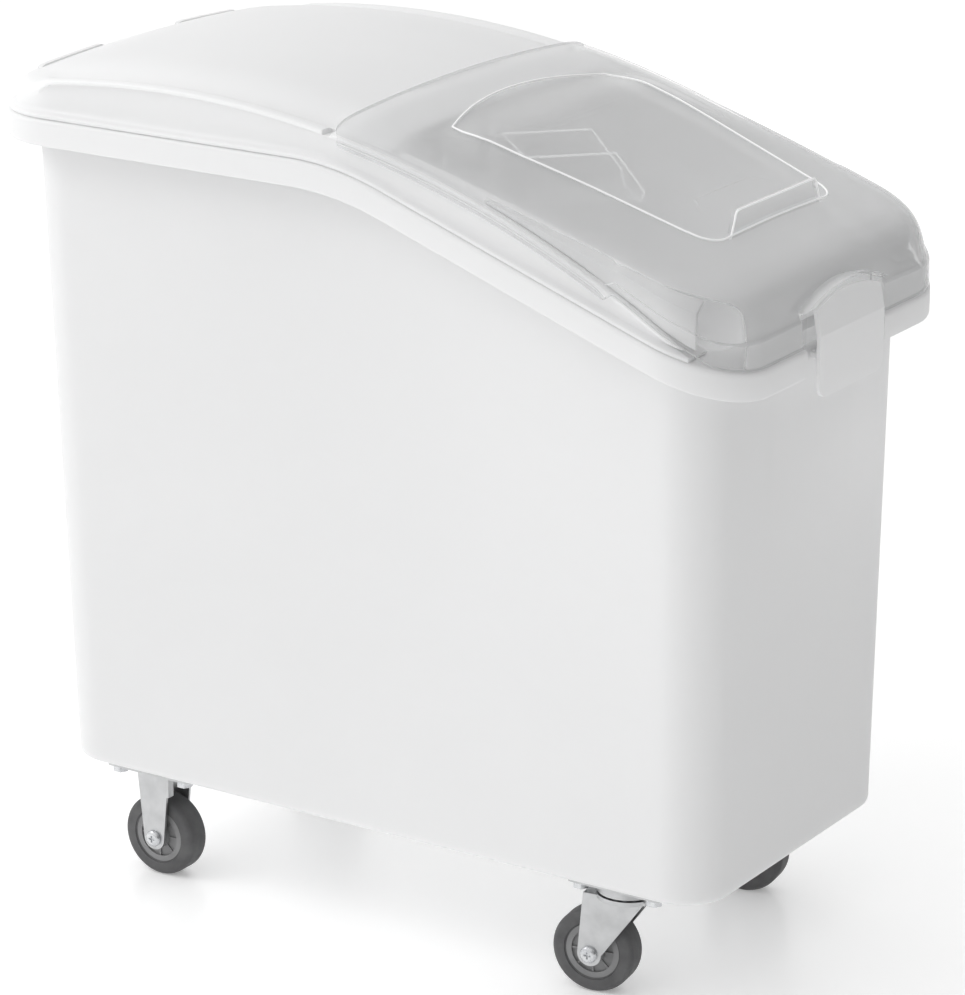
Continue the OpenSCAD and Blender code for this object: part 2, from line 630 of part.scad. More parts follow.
// Height of a row: the inner skin stays over the rail
function shell_z(k, x, y) = let (e = shell_shares[k]) max(mix(clear_low(x), clear_top(x, y), e[1]),
    arc_z(lift_r + e[3] * clear_t + k * step_min, x));
function skin_z(k, x, y) = shell_z(k, x, y) - shell_shares[k][3] * clear_t;
function shell_row(k) = [for (p = ring(clear_frame(shell_in(k)), clear_shares))
    [p[0], p[1], shell_z(k, p[0], p[1])]];
function skin_row(k) = [for (p = ring(clear_frame(skin_in(k)), clear_shares))
    [p[0], p[1], skin_z(k, p[0], p[1])]];
function low_row(d, dz) = [for (p = ring(clear_frame(d), clear_shares)) [p[0], p[1], clear_low(p[0]) + dz]];
function hook_row(dz) = let (a = ring(clear_frame(clear_in + clear_t), clear_shares),
    b = ring(clear_frame(clear_in + clear_t + hook_in), clear_shares))
    [for (i = [0 : len(a) - 1]) let (p = mix(a[i], b[i], hook_reach(a[i][0])))
        [p[0], p[1], clear_low(p[0]) + dz]];
// Grip: a raised panel with an arched rear end
arch_in_r = (pow(grip_rear_half, 2) + pow(grip_sag, 2)) / (2 * grip_sag);
grip_arc = asin(grip_rear_half / arch_in_r);
rear_n = 2 * corner_n + 6;
function grip_ring(d) = let (cx = grip_x - grip_r, cy = grip_front_half - grip_r, r = grip_r - d) concat(
    [for (i = [0 : corner_n]) let (a = -90 + 90 * i / corner_n) [cx + r * cos(a), -cy + r * sin(a)]],
    [for (s = end_shares) [grip_x - d + clear_t / 2 * (1 - s * s), s * cy]],
    [for (i = [0 : corner_n]) let (a = 90 * i / corner_n) [cx + r * cos(a), cy + r * sin(a)]],
    [for (i = [len(clear_xs) - 1 : -1 : 0]) let (t = (i + 1) / (len(clear_xs) + 1))
        [mix(grip_rear_x + d, cx, t), mix(grip_rear_half, grip_front_half, t) - d]],
    [for (i = [0 : rear_n - 1]) let (a = grip_arc * (1 - 2 * i / (rear_n - 1)))
        [grip_rear_x - grip_sag + d + arch_in_r * (1 - cos(a)), (arch_in_r - d) * sin(a)]],
    [for (i = [0 : len(clear_xs) - 1]) let (t = (i + 1) / (len(clear_xs) + 1))
        [mix(grip_rear_x + d, cx, t), -mix(grip_rear_half, grip_front_half, t) + d]]);
grip_z0 = clear_top(grip_rear_x - grip_sag / 2, 0);
grip_z1 = clear_top(grip_x, 0) + grip_h;
function grip_top(x, y) = max(mix(grip_z0, grip_z1, ramp(x, grip_rear_x - grip_sag / 2, grip_x)),
    clear_top(x, y) + clear_t / 2);
function grip_base_row(d, dz) = [for (p = grip_ring(d)) [p[0], p[1], clear_top(p[0], p[1]) + dz]];
function grip_top_row(d, dz) = [for (p = grip_ring(d)) [p[0], p[1], grip_top(p[0], p[1]) + dz]];
clear_rings = [
    grip_top_row(grip_lean + clear_t, -clear_t),
    grip_base_row(clear_t, -clear_t),
    for (k = [5 : -1 : 0]) skin_row(k),
    low_row(clear_in + clear_t, hook_t),
    hook_row(hook_t),
    hook_row(0),
    low_row(clear_in, 0),
    for (k = [0 : 5]) shell_row(k),
    grip_base_row(0, 0),
    grip_top_row(grip_lean, 0)];
arch_z = front_z + arch_rise;
arch_n = 16;
function arch_at(y, grow) = arch_z - arch_r + sqrt(pow(arch_r + grow, 2) - y * y);
module arch_shape(grow) polygon(concat(
    [[-arch_half - grow, front_z - rim_h], [arch_half + grow, front_z - rim_h]],
    [for (i = [0 : arch_n]) let (y = (arch_half + grow) * (1 - 2 * i / arch_n)) [y, arch_at(y, grow)]]));
rear_corner_y = half_w - clear_in - clear_r;
module clear_lid() color("lightsteelblue", 0.4) place() difference() {
    union() {
        loft(clear_rings);
        translate([half_l - visor_l, 0, 0]) along_x(visor_l - clear_in) intersection() {
            arch_shape(visor_t);
            translate([-rim_w, rim_top(half_l - visor_l) + skirt_gap]) square([rim_w * 2, rim_w]);
        }
    }
    translate([0, 0, front_z]) linear_extrude(height = rim_l) polygon(concat(
        [[tail_x * 2, -rim_w], [clear_r, -rim_w]],
        [for (i = [0 : 6]) let (a = -90 - 15 * i) [clear_r * (1 + cos(a)), clear_r * sin(a) - rear_corner_y]],
        [for (i = [0 : 6]) let (a = 180 - 15 * i) [clear_r * (1 + cos(a)), clear_r * sin(a) + rear_corner_y]],
        [[clear_r, rim_w], [tail_x * 2, rim_w]]));
    translate([half_l - rim_r / 2, 0, 0]) along_x(rim_r) arch_shape(0);
}
// Runners: white strips inside the clear sides that ride on the rails and follow the clear skin
runner_n = 20;
runner_r = rail_top_r + runner_gap;
function side_y(d, x) = half_w - rim_r + sqrt(pow(rim_r - d, 2) - pow(max(0, x - half_l + rim_r), 2));
function runner_section(x, s) = let (low = arc_z(runner_r, x), y0 = side_y(skin_in(2) + runner_gap, x),
    y1 = side_y(skin_in(2) + runner_gap + runner_t, x), y2 = side_y(skin_in(4), x),
    z0 = skin_z(2, x, half_w) - runner_gap, z2 = skin_z(4, x, half_w) - runner_gap * 2)
    [[x, s * y0, low], [x, s * y1, low], [x, s * y1, max(low + step_min, z0 - runner_t)],
        [x, s * y2, z2 - runner_t], [x, s * y2, z2], [x, s * y0, z0]];
runner_cap = [[0, 1, 2], [0, 2, 5], [2, 3, 5], [3, 4, 5]];
module runner(s) {
    pts = [for (i = [0 : runner_n]) each runner_section(mix(runner_x0, arm_end_x, i / runner_n), s)];
    quads = concat(skin(runner_n + 1, 6), runner_cap,
        [for (f = runner_cap) [f[2] + runner_n * 6, f[1] + runner_n * 6, f[0] + runner_n * 6]]);
    polyhedron(points = pts, faces = s > 0 ? [for (f = quads) [f[2], f[1], f[0]]] : quads, convexity = 6);
}
module runner_near() color("whitesmoke") place() runner(-1);
module runner_far() color("whitesmoke") place() runner(1);

// Latch

face_x = half_l + latch_proud;
crease_z = front_z + latch_crease;
foot_z = front_z - latch_foot;
latch_rib_shares = [-0.8, -0.3, 0.3, 0.8];
latch_web_share = 0.88;
module latch_outline() difference() {
    union() {
        translate([-latch_w / 2 + latch_r, foot_z]) square([latch_w - latch_r * 2, arch_z - foot_z]);
        translate([-latch_w / 2, foot_z + latch_r]) square([latch_w, arch_z - foot_z - latch_r]);
        for (s = [-1, 1]) translate([s * (latch_w / 2 - latch_r), foot_z + latch_r]) circle(r = latch_r);
    }
    polygon(concat([[-arch_half, arch_z * 2]],
        [for (i = [0 : arch_n]) let (y = -arch_half * (1 - 2 * i / arch_n)) [y, arch_at(y, 0) - latch_gap]],
        [[arch_half, arch_z * 2]]));
}
module front_latch() color("ghostwhite") place() difference() {
    union() {
        intersection() {
            translate([0, -latch_w, 0]) along_y(latch_w * 2) polygon([[face_x, foot_z - latch_r],
                [face_x, crease_z], [face_x - latch_lean, arch_z], [face_x - latch_lean - latch_t, arch_z],
                [face_x - latch_t, crease_z], [face_x - latch_t, foot_z - latch_r]]);
            translate([half_l - rim_r, 0, 0]) along_x(rim_r * 2) latch_outline();
        }
        translate([pin_x, -gap_half + barrel_gap, pin_z]) rotate([-90, 0, 0])
            cylinder(r = pin_r + pin_gap + barrel_t, h = gap_half * 2 - barrel_gap * 2);
        for (s = latch_rib_shares) translate([pin_x, s * latch_w / 2 - latch_t / 2, pin_z - pin_r])
            cube([face_x - latch_t / 2 - pin_x, latch_t, pin_r * 2]);
        translate([pin_x, -latch_w / 2 * latch_web_share, pin_z - latch_t / 2])
            cube([face_x - latch_t / 2 - pin_x, latch_w * latch_web_share, latch_t]);
    }
    translate([pin_x, -gap_half, pin_z]) rotate([-90, 0, 0]) cylinder(r = pin_r + pin_gap, h = gap_half * 2);
}
module latch_pin() color("silver") place() translate([pin_x, -gap_half - cheek_t, pin_z]) rotate([-90, 0, 0])
    cylinder(r = pin_r, h = (gap_half + cheek_t) * 2);

// Scoop

module bowl_profile(w, h, r) {
    translate([-w / 2, r - h]) square([w, h - r]);
    translate([r - w / 2, -h]) square([w - r * 2, h]);
    for (s = [-1, 1]) translate([s * (w / 2 - r), r - h]) circle(r = r);
}
mouth_share = 0.75;
module scoop() color("lightsteelblue", 0.5) place() scoop_place() difference() {
    union() {
        translate([-bowl_l, 0, 0]) along_x(bowl_l) bowl_profile(bowl_w, bowl_h, bowl_r);
        translate([-bowl_l - handle_l, 0, -handle_fall - handle_t]) linear_extrude(height = handle_t) {
            translate([handle_w / 2, -handle_w / 2]) square([handle_l - handle_w / 2 + bowl_t / 2, handle_w]);
            translate([handle_w / 2, 0]) circle(r = handle_w / 2);
        }
    }
    translate([bowl_t - bowl_l, 0, 0]) along_x(bowl_l) union() {
        bowl_profile(bowl_w - bowl_t * 2, bowl_h - bowl_t, bowl_r - bowl_t);
        translate([bowl_t - bowl_w / 2, -bowl_t]) square([bowl_w - bowl_t * 2, bowl_h]);
    }
    translate([0, -bowl_w, 0]) along_y(bowl_w * 2) polygon([[-mouth_l, bowl_t],
        [bowl_t, -bowl_h * mouth_share], [bowl_t * 2, -bowl_h * mouth_share], [bowl_t * 2, bowl_t]]);
}

// Casters

module rounded(l, w, r) {
    translate([-l / 2, r - w / 2]) square([l, w - r * 2]);
    translate([r - l / 2, -w / 2]) square([l - r * 2, w]);
    for (i = [-1, 1], j = [-1, 1]) translate([i * (l / 2 - r), j * (w / 2 - r)]) circle(r = r);
}
module plate() translate([0, 0, plate_z]) linear_extrude(height = plate_t) difference() {
    rounded(plate_l, plate_w, plate_r);
    for (i = [-1, 1], j = [-1, 1]) translate([i * bolt_sx / 2, j * bolt_sy / 2])
        circle(r = bolt_r + bolt_gap);
}
module legs(x) for (s = [-1, 1]) translate([0, s * (fork_gap + fork_t) / 2 - fork_t / 2, 0])
    along_y(fork_t) difference() {
        children(0);
        translate([x, wheel_r]) circle(r = axle_r + bolt_gap);
    }
module rear_leg() {
    polygon([[-leg_half, plate_z + plate_t / 2], [leg_half, plate_z + plate_t / 2],
        [leg_r, wheel_r], [-leg_r, wheel_r]]);
    translate([0, wheel_r]) circle(r = leg_r);
}
fold_low = wheel_d + fork_t * 2;
module rear_fork() {
    plate();
    legs(0) rear_leg();
    for (y = [-fork_gap / 2 - fork_t, fork_gap / 2 - fold_w]) translate([leg_half - fork_t, y, fold_low])
        cube([fork_t, fold_w + fork_t, plate_z - fold_low + plate_t / 2]);
}
crown_z = plate_z - ring_h - race_gap;
fork_top = crown_z - race_t / 4;
fork_low = crown_z - race_t;
leg_back_share = 0.35;
leg_front_share = 0.82;
leg_back = trail + leg_half * leg_back_share;
leg_front = race_r * leg_front_share;
module front_leg() {
    polygon([[-leg_back, fork_top], [leg_front, fork_top],
        [leg_r - trail, wheel_r], [-leg_r - trail, wheel_r]]);
    translate([-trail, wheel_r]) circle(r = leg_r);
}
ball_z = crown_z + race_gap / 2;
module groove() translate([0, 0, ball_z]) rotate_extrude()
    translate([ball_pcd_r, 0]) circle(r = ball_r + ball_gap);
module front_fork_shape() difference() {
    union() {
        translate([0, 0, fork_low]) cylinder(r = race_r, h = race_t);
        translate([-leg_back, -fork_gap / 2 - fork_t, fork_low])
            cube([leg_back + leg_front, fork_gap + fork_t * 2, fork_top - fork_low]);
        legs(-trail) front_leg();
    }
    groove();
    translate([0, 0, fork_low - race_t]) cylinder(r = king_r + king_gap, h = race_t * 3);
}
module front_plate() difference() {
    union() {
        plate();
        translate([0, 0, plate_z - ring_h])
            cylinder(r1 = race_r - race_gap, r2 = race_r - race_gap * 2, h = ring_h + plate_t / 2);
    }
    groove();
    translate([0, 0, fork_low]) cylinder(r = king_r, h = plate_t + ring_h + race_t * 3);
    translate([0, 0, base_z - king_top_h]) cylinder(r = king_top_r, h = plate_t);
}
module kingpin() {
    low = fork_low - king_lift - king_head_h;
    translate([0, 0, low]) cylinder(r = king_head_r, h = king_head_h);
    translate([0, 0, low]) cylinder(r = king_r, h = base_z - low);
    translate([0, 0, base_z - king_top_h]) cylinder(r = king_top_r, h = king_top_h);
}
module balls() for (i = [0 : ball_n - 1]) rotate([0, 0, 360 * i / ball_n])
    translate([ball_pcd_r, 0, ball_z]) sphere(r = ball_r, $fn = 16);
module caster_bolts() color("silver") place() bolt_places() {
    bolt_head();
    translate([0, 0, plate_z - nut_h - bolt_end])
        cylinder(r = bolt_r, h = plate_t + nut_h + bolt_end + floor_t - head_h / 2);
}
module caster_nuts() color("silver") place() bolt_places() translate([0, 0, plate_z - nut_h]) difference() {
    cylinder(r = nut_r, h = nut_h, $fn = 6);
    translate([0, 0, -nut_h]) cylinder(r = bolt_r, h = nut_h * 3);
}
// Wheel parts stand at the axle, with +Y pointing away from the middle of the bin
out_y = fork_gap / 2 + fork_t;
// Domed axle head: radius and height shares
dome_shares = [[1, 0.45], [0.9, 0.75], [0.65, 1]];
module axle_bolt() {
    translate([0, -out_y - axle_nut_h - bolt_end, 0]) rotate([-90, 0, 0])
        cylinder(r = axle_r, h = out_y * 2 + axle_nut_h + bolt_end + axle_head_h / 2);
    translate([0, out_y, 0]) rotate([-90, 0, 0]) difference() {
        rotate_extrude() polygon(concat([[0, 0], [axle_head_r, 0]],
            [for (e = dome_shares) [axle_head_r * e[0], axle_head_h * e[1]]], [[0, axle_head_h]]));
        for (a = [0, 90]) rotate([0, 0, a]) translate([-recess_l / 2, -recess_w / 2, axle_head_h - recess_h])
            cube([recess_l, recess_w, recess_h * 2]);
    }
}
module axle_nut() translate([0, -out_y, 0]) rotate([90, 0, 0]) difference() {
    cylinder(r = nut_r, h = axle_nut_h, $fn = 6);
    translate([0, 0, -axle_nut_h]) cylinder(r = axle_r, h = axle_nut_h * 3);
}
sleeve_l = fork_gap - bolt_gap;
module sleeve() translate([0, -sleeve_l / 2, 0]) rotate([-90, 0, 0]) difference() {
    cylinder(r = sleeve_r, h = sleeve_l);
    translate([0, 0, -sleeve_l]) cylinder(r = axle_r + bolt_gap, h = sleeve_l * 3);
}
boss_half = fork_gap / 2 - hub_gap;
module hub_disc() rotate_extrude() polygon([
    [sleeve_r + sleeve_gap, -boss_half], [boss_r, -boss_half], [boss_r, -web_t / 2],
    [hub_r - hub_rim_t, -web_t / 2],
    [hub_r - hub_rim_t, -hub_rim_w / 2], [hub_r, -hub_rim_w / 2], [hub_r, hub_rim_w / 2],
    [hub_r - hub_rim_t, hub_rim_w / 2], [hub_r - hub_rim_t, web_t / 2],
    [boss_r, web_t / 2], [boss_r, boss_half],
    [sleeve_r + sleeve_gap, boss_half]]);
hub_rib_h = hub_rim_w - hub_rib_fall * 2;
module hub() rotate([90, 0, 0]) {
    hub_disc();
    for (i = [0 : hub_rib_n - 1]) rotate([0, 0, 360 * i / hub_rib_n])
        translate([boss_r - hub_rib_t / 2, -hub_rib_t / 2, -hub_rib_h / 2])
            cube([hub_r - hub_rim_t - boss_r + hub_rib_t, hub_rib_t, hub_rib_h]);
}
tyre_low = (wheel_w - hub_rim_w) / 2;
module tyre() rotate([90, 0, 0]) rotate_extrude() difference() {
    union() {
        translate([hub_r, tread_r - wheel_w / 2]) square([wheel_r - hub_r, wheel_w - tread_r * 2]);
        translate([hub_r, -wheel_w / 2]) square([wheel_r - hub_r - tread_r, wheel_w]);
        for (s = [-1, 1]) translate([wheel_r - tread_r, s * (wheel_w / 2 - tread_r)]) circle(r = tread_r);
    }
    for (s = [-1, 1]) translate([hub_r, s * wheel_w / 2]) circle(r = tyre_low);
}

module rear_at(s) place() translate([rear_x, s * wheel_y, 0]) children();
module king_at(s) place() translate([king_x, s * wheel_y, 0]) children();
module turned(s) king_at(s) rotate([0, 0, swivel_turn]) children();
module facing(s) rotate([0, 0, s > 0 ? 0 : 180]) children();
module rear_wheel(s) rear_at(s) translate([0, 0, wheel_r]) facing(s) children();
module front_wheel(s) turned(s) translate([-trail, 0, wheel_r]) facing(s) children();

zinc = [0.78, 0.79, 0.8];
steel = [0.7, 0.71, 0.73];
dark = [0.22, 0.22, 0.23];
grey = [0.45, 0.46, 0.48];
module rear_fork_near() color(zinc) rear_at(-1) rear_fork();
module rear_fork_far() color(zinc) rear_at(1) rear_fork();
module front_plate_near() color(zinc) king_at(-1) front_plate();
module front_plate_far() color(zinc) king_at(1) front_plate();
module kingpin_near() color(steel) king_at(-1) kingpin();
module kingpin_far() color(steel) king_at(1) kingpin();
module swivel_balls_near() color(steel) king_at(-1) balls();
module swivel_balls_far() color(steel) king_at(1) balls();
module front_fork_near() color(zinc) turned(-1) front_fork_shape();
module front_fork_far() color(zinc) turned(1) front_fork_shape();
module rear_axle_bolt_near() color(steel) rear_wheel(-1) axle_bolt();
module rear_axle_bolt_far() color(steel) rear_wheel(1) axle_bolt();
module front_axle_bolt_near() color(steel) front_wheel(-1) axle_bolt();
module front_axle_bolt_far() color(steel) front_wheel(1) axle_bolt();
module rear_axle_nut_near() color(steel) rear_wheel(-1) axle_nut();
module rear_axle_nut_far() color(steel) rear_wheel(1) axle_nut();
module front_axle_nut_near() color(steel) front_wheel(-1) axle_nut();
module front_axle_nut_far() color(steel) front_wheel(1) axle_nut();
module rear_sleeve_near() color(steel) rear_wheel(-1) sleeve();
module rear_sleeve_far() color(steel) rear_wheel(1) sleeve();
module front_sleeve_near() color(steel) front_wheel(-1) sleeve();
module front_sleeve_far() color(steel) front_wheel(1) sleeve();
module rear_hub_near() color(grey) rear_wheel(-1) hub();
module rear_hub_far() color(grey) rear_wheel(1) hub();
module front_hub_near() color(grey) front_wheel(-1) hub();
module front_hub_far() color(grey) front_wheel(1) hub();
module rear_tyre_near() color(dark) rear_wheel(-1) tyre();
module rear_tyre_far() color(dark) rear_wheel(1) tyre();
module front_tyre_near() color(dark) front_wheel(-1) tyre();
module front_tyre_far() color(dark) front_wheel(1) tyre();

tub();
rear_lid();
clear_lid();
runner_near();
runner_far();
front_latch();
latch_pin();
scoop();
caster_bolts();
caster_nuts();
rear_fork_near();
rear_fork_far();
front_plate_near();
front_plate_far();
kingpin_near();
kingpin_far();
swivel_balls_near();
swivel_balls_far();
front_fork_near();
front_fork_far();
rear_axle_bolt_near();
rear_axle_bolt_far();
front_axle_bolt_near();
front_axle_bolt_far();
rear_axle_nut_near();
rear_axle_nut_far();
front_axle_nut_near();
front_axle_nut_far();
rear_sleeve_near();
rear_sleeve_far();
front_sleeve_near();
front_sleeve_far();
rear_hub_near();
rear_hub_far();
front_hub_near();
front_hub_far();
rear_tyre_near();
rear_tyre_far();
front_tyre_near();
front_tyre_far();
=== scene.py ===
"""Looks of the rolling flour bin: smooth shells, wheels, finishes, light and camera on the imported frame."""
import json
import math

import bmesh
import bpy
import numpy as np
from mathutils import Matrix, Vector


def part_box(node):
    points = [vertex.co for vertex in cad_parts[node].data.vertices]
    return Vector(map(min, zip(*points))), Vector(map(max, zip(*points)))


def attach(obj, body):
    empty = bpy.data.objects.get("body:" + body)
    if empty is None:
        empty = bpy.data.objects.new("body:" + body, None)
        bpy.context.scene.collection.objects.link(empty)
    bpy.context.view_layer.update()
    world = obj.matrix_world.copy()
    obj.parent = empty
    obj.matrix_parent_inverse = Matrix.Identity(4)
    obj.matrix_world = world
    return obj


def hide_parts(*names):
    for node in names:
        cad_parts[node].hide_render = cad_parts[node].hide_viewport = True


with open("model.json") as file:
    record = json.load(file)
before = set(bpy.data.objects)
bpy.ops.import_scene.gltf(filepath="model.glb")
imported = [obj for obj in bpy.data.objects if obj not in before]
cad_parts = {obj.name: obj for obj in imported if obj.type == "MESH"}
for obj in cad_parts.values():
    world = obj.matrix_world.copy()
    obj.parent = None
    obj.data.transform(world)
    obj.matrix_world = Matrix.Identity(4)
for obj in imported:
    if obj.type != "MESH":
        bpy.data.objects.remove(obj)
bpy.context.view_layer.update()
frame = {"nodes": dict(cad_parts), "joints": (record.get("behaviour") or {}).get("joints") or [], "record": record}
nodes = frame["nodes"]
slots = {part["node"]: part["material_slot"] for part in frame["record"]["subparts"]}
joints = {joint["name"]: joint for joint in frame["joints"]}

# Sizes in millimetres, most of them the same as in the solids
MM = 0.001
tub_low, tub_high = (np.array(corner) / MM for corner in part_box("tub"))
MID_X = (tub_low[0] + tub_high[0]) / 2
HALF_L = (tub_high[0] - tub_low[0]) / 2
HALF_W = tub_high[1]
RIM_Z = tub_high[2]
BASE_Z = tub_low[2]

# Tub
RIM_SLOPE = math.tan(math.radians(19.5))
BEND_X = 2
BEND_RUN = 45
WALL = 4
FLOOR_T = 5
OVER_SIDE, OVER_REAR, OVER_FRONT = 28, 27, 32
DRAFT_SIDE, DRAFT_REAR, DRAFT_FRONT = 12.4, 14, 3
CORNER_R = 44
BASE_EDGE = 6
INNER_EDGE = 3.5
RIM_T = 4
RIM_H = 24
RIM_EDGE = 5
RIM_FILLET = 14
SMALL_EDGE = 1.2
GAP_HALF = 66
CHEEK_T = 4
RIM_R = CORNER_R + OVER_SIDE
FRONT_Z = RIM_Z - RIM_SLOPE * (HALF_L - BEND_X)

# Rear lid
SLIDE_X = -177
SLIDE_Z = RIM_Z - 897.5
RAIL_R = 934.5
LID_RISE = 16
CROWN_FALL = 5
CROWN_HALF = 0.703 * HALF_W
LID_T = 3
LID_EDGE = 48
FLANGE_IN = 1.5
BAND_IN = 8.6
BAND_T = 3.2
SEAT_GAP = 0.3
LOCATE_H = 8
LOCATE_T = 2.5
LOCATE_IN = OVER_SIDE + WALL + 2
LID_FRONT_X = 45
ARM_END_X = 336
ARM_LIP = 3
ARM_FALL = 2.2
RAIL_IN = 10.8
RAIL_START_X = -320
RAIL_FADE = 26
RIB_H, RIB_T, RIB_X = 2.4, 5, -348
RIB_Y0, RIB_Y1 = 55, 143
RIB_SHARE, RIB_END = 0.882, 0.35
RIDGE_X, RIDGE_HALF, RIDGE_H = -7, 64, 1.6
NOTCH_L, NOTCH_OUT, NOTCH_IN, NOTCH_RISE = 9, 9.6, 20.16, 0.96

# Clear lid
CLEAR_T = 2.5
CLEAR_Z = RIM_Z + 43.5
CLEAR_FALL = math.tan(math.radians(13.63))
CLEAR_BOW = 22
HOOK_GAP, HOOK_T, HOOK_IN, HOOK_END_X, HOOK_LEAST = 1.2, 2, 4, 262, 0.1
TAIL_X = -81.6
CLEAR_IN = 1
OVER_GAP = 1.2
SKIRT_GAP = 0.8
CLEAR_R = 12
ARCH_HALF, ARCH_R = 68, 169
ARCH_Z = FRONT_Z + 44.5
GRIP_X, GRIP_R = 306, 22
GRIP_REAR_X, GRIP_SAG = 66, 21
GRIP_XS, GRIP_HALVES = (66, 80, 100, 137, 201, 260, 290), (119.5, 124.5, 127, 125, 115.5, 108, 104)
GRIP_INSETS = (0, 4, 14, 30, 50)
TOP_BLENDS = (0.2, 0.4, 0.6, 0.8)
SWELL_H, SWELL_FALL = 7, 0.71
SWELL_REAR, SWELL_FRONT = (55, 110), (100, 300)
BEAD_R = 1
BEAD_UP = (0.3, 0, 1)
LIP_HALF, LIP_TOP_HALF, LIP_H, LIP_T, LIP_R = 76, 68, 20, 4, 6
VISOR_L, VISOR_T = 16, 2.5
RUNNER_X0, RUNNER_T, RUNNER_GAP = 60, 2.4, 0.5

# Scoop
SCOOP_X, SCOOP_Y, SCOOP_FALL = 119, 82, 20
SCOOP_TURN = math.radians(45)
BOWL_L, BOWL_W, BOWL_H, BOWL_R, HANDLE_L = 105, 90, 48, 26, 96
MOUTH_L, MOUTH_SHARE = 26, 0.75
HANDLE_W, HANDLE_T, HANDLE_FALL = 26, 8, 8
CRADLE_T, CRADLE_RIM, CRADLE_GAP = 3, 8, 0.7
CRADLE_SHARES = (0.25, 0.68)

# Wheels
WHEEL_R, WHEEL_W = 37.5, 25
HUB_R, HUB_RIM_W = 24.5, 22
TREAD_R = 5

# Samples: per corner, end and side of a ring, on a rounded edge, round a bead and on a small arc
CORNER_N, END_N, SIDE_N = 14, 16, 90
ROUND_N, BEAD_N, ARC_N = 4, 8, 8

# A rounded edge takes at most this share of the way to the next row, with a shortest way to divide by
ROUND_SHARE, SHORTEST = 0.49, 0.01
# Distances in metres at which points become one, and angles in degrees for sharp, bevelled and flat
WELD, NODE_WELD = 0.00001, 0.000002
SHARP_DEG, BEAD_SHARP_DEG, BEVEL_DEG, FLAT_DEG = 32, 60, 40, 0.5


def mix(a, b, t):
    return a * (1 - t) + b * t


def ramp(x, a, b):
    return np.clip((x - a) / (b - a), 0, 1)


def smooth(x, a, b):
    t = ramp(x, a, b)
    return t * t * (3 - 2 * t)


def rim_top(x):
    u = x - BEND_X
    bend = RIM_SLOPE * (u + BEND_RUN) ** 2 / (4 * BEND_RUN)
    return RIM_Z - np.where(u < -BEND_RUN, 0, np.where(u > BEND_RUN, RIM_SLOPE * u, bend))


def arc_z(radius, x):
    return SLIDE_Z + np.sqrt(radius ** 2 - (x - SLIDE_X) ** 2)


# Rings of points, counter-clockwise from above, and skins over stacks of them

def corner(cx, cy, radius, start):
    angle = np.radians(start + np.linspace(0, 90, CORNER_N + 1))
    return np.column_stack((cx + radius * np.cos(angle), cy + radius * np.sin(angle)))


def between(a, b, count):
    t = np.linspace(0, 1, count + 2)[1:-1, None]
    return mix(np.array(a, float), np.array(b, float), t)


def ring(rear, front, half, radius):
    x0, x1, y = rear + radius, front - radius, half - radius
    return np.vstack((
        corner(x1, -y, radius, -90), between((front, -y), (front, y), END_N), corner(x1, y, radius, 0),
        between((x1, half), (x0, half), SIDE_N),
        corner(x0, y, radius, 90), between((rear, y), (rear, -y), END_N), corner(x0, -y, radius, 180),
        between((x0, -half), (x1, -half), SIDE_N)))


def raised(points, z):
    return np.column_stack((points, np.broadcast_to(z, len(points))))


def round_rows(rows, radii):
    """Rounds the profile at each row by its own radius. A radius of zero keeps the edge."""
    made = [rows[0]]
    for before, row, after, radius in zip(rows, rows[1:], rows[2:], radii[1:]):
        if radius == 0:
            made.append(row)
            continue
        ends = []
        for other in (before, after):
            reach = np.linalg.norm(other - row, axis=1)[:, None]
            ends.append(row + (other - row) * np.minimum(ROUND_SHARE, radius / np.maximum(reach, SHORTEST)))
        for t in np.linspace(0, 1, ROUND_N + 1):
            made.append(mix(mix(ends[0], row, t), mix(row, ends[1], t), t))
    made.append(rows[-1])
    return made


def new_object(name, points, faces):
    mesh = bpy.data.meshes.new(name)
    mesh.from_pydata(((np.asarray(points) + (MID_X, 0, 0)) * MM).tolist(), [], faces)
    mesh.validate()
    obj = bpy.data.objects.new(name, mesh)
    bpy.context.collection.objects.link(obj)
    return obj


def loft(name, rows):
    """Closed solid over a stack of rings, from the middle of its underside to the middle of its top."""
    n = len(rows[0])
    faces = []
    for k in range(len(rows) - 1):
        for i in range(n):
            a, b = k * n + i, k * n + (i + 1) % n
            faces.append((a, b, b + n, a + n))
    pair_sum = 2 * (CORNER_N + 1) + END_N - 1
    first = (pair_sum + 1) // 2
    top = (len(rows) - 1) * n
    for i in range(first, first + n // 2 - 1):
        p, q, u, v = i % n, (i + 1) % n, (pair_sum - i - 1) % n, (pair_sum - i) % n
        faces.append((v, u, q, p))
        faces.append((top + p, top + q, top + u, top + v))
    return new_object(name, np.vstack(rows), faces)


def outward(obj):
    edit = bmesh.new()
    edit.from_mesh(obj.data)
    bmesh.ops.recalc_face_normals(edit, faces=edit.faces)
    edit.to_mesh(obj.data)
    edit.free()


def prism(name, outline, axis, low, high):
    """Closed prism over an outline in the two other axes, in their order."""
    flat = np.asarray(outline, float)
    ends = [np.insert(flat, axis, value, axis=1) for value in (low, high)]
    n = len(flat)
    faces = [(i, (i + 1) % n, n + (i + 1) % n, n + i) for i in range(n)]
    obj = new_object(name, np.vstack(ends), faces + [tuple(range(n)), tuple(range(2 * n - 1, n - 1, -1))])
    outward(obj)
    return obj


def box_outline(a0, a1, b0, b1):
    return [(a0, b0), (a1, b0), (a1, b1), (a0, b1)]


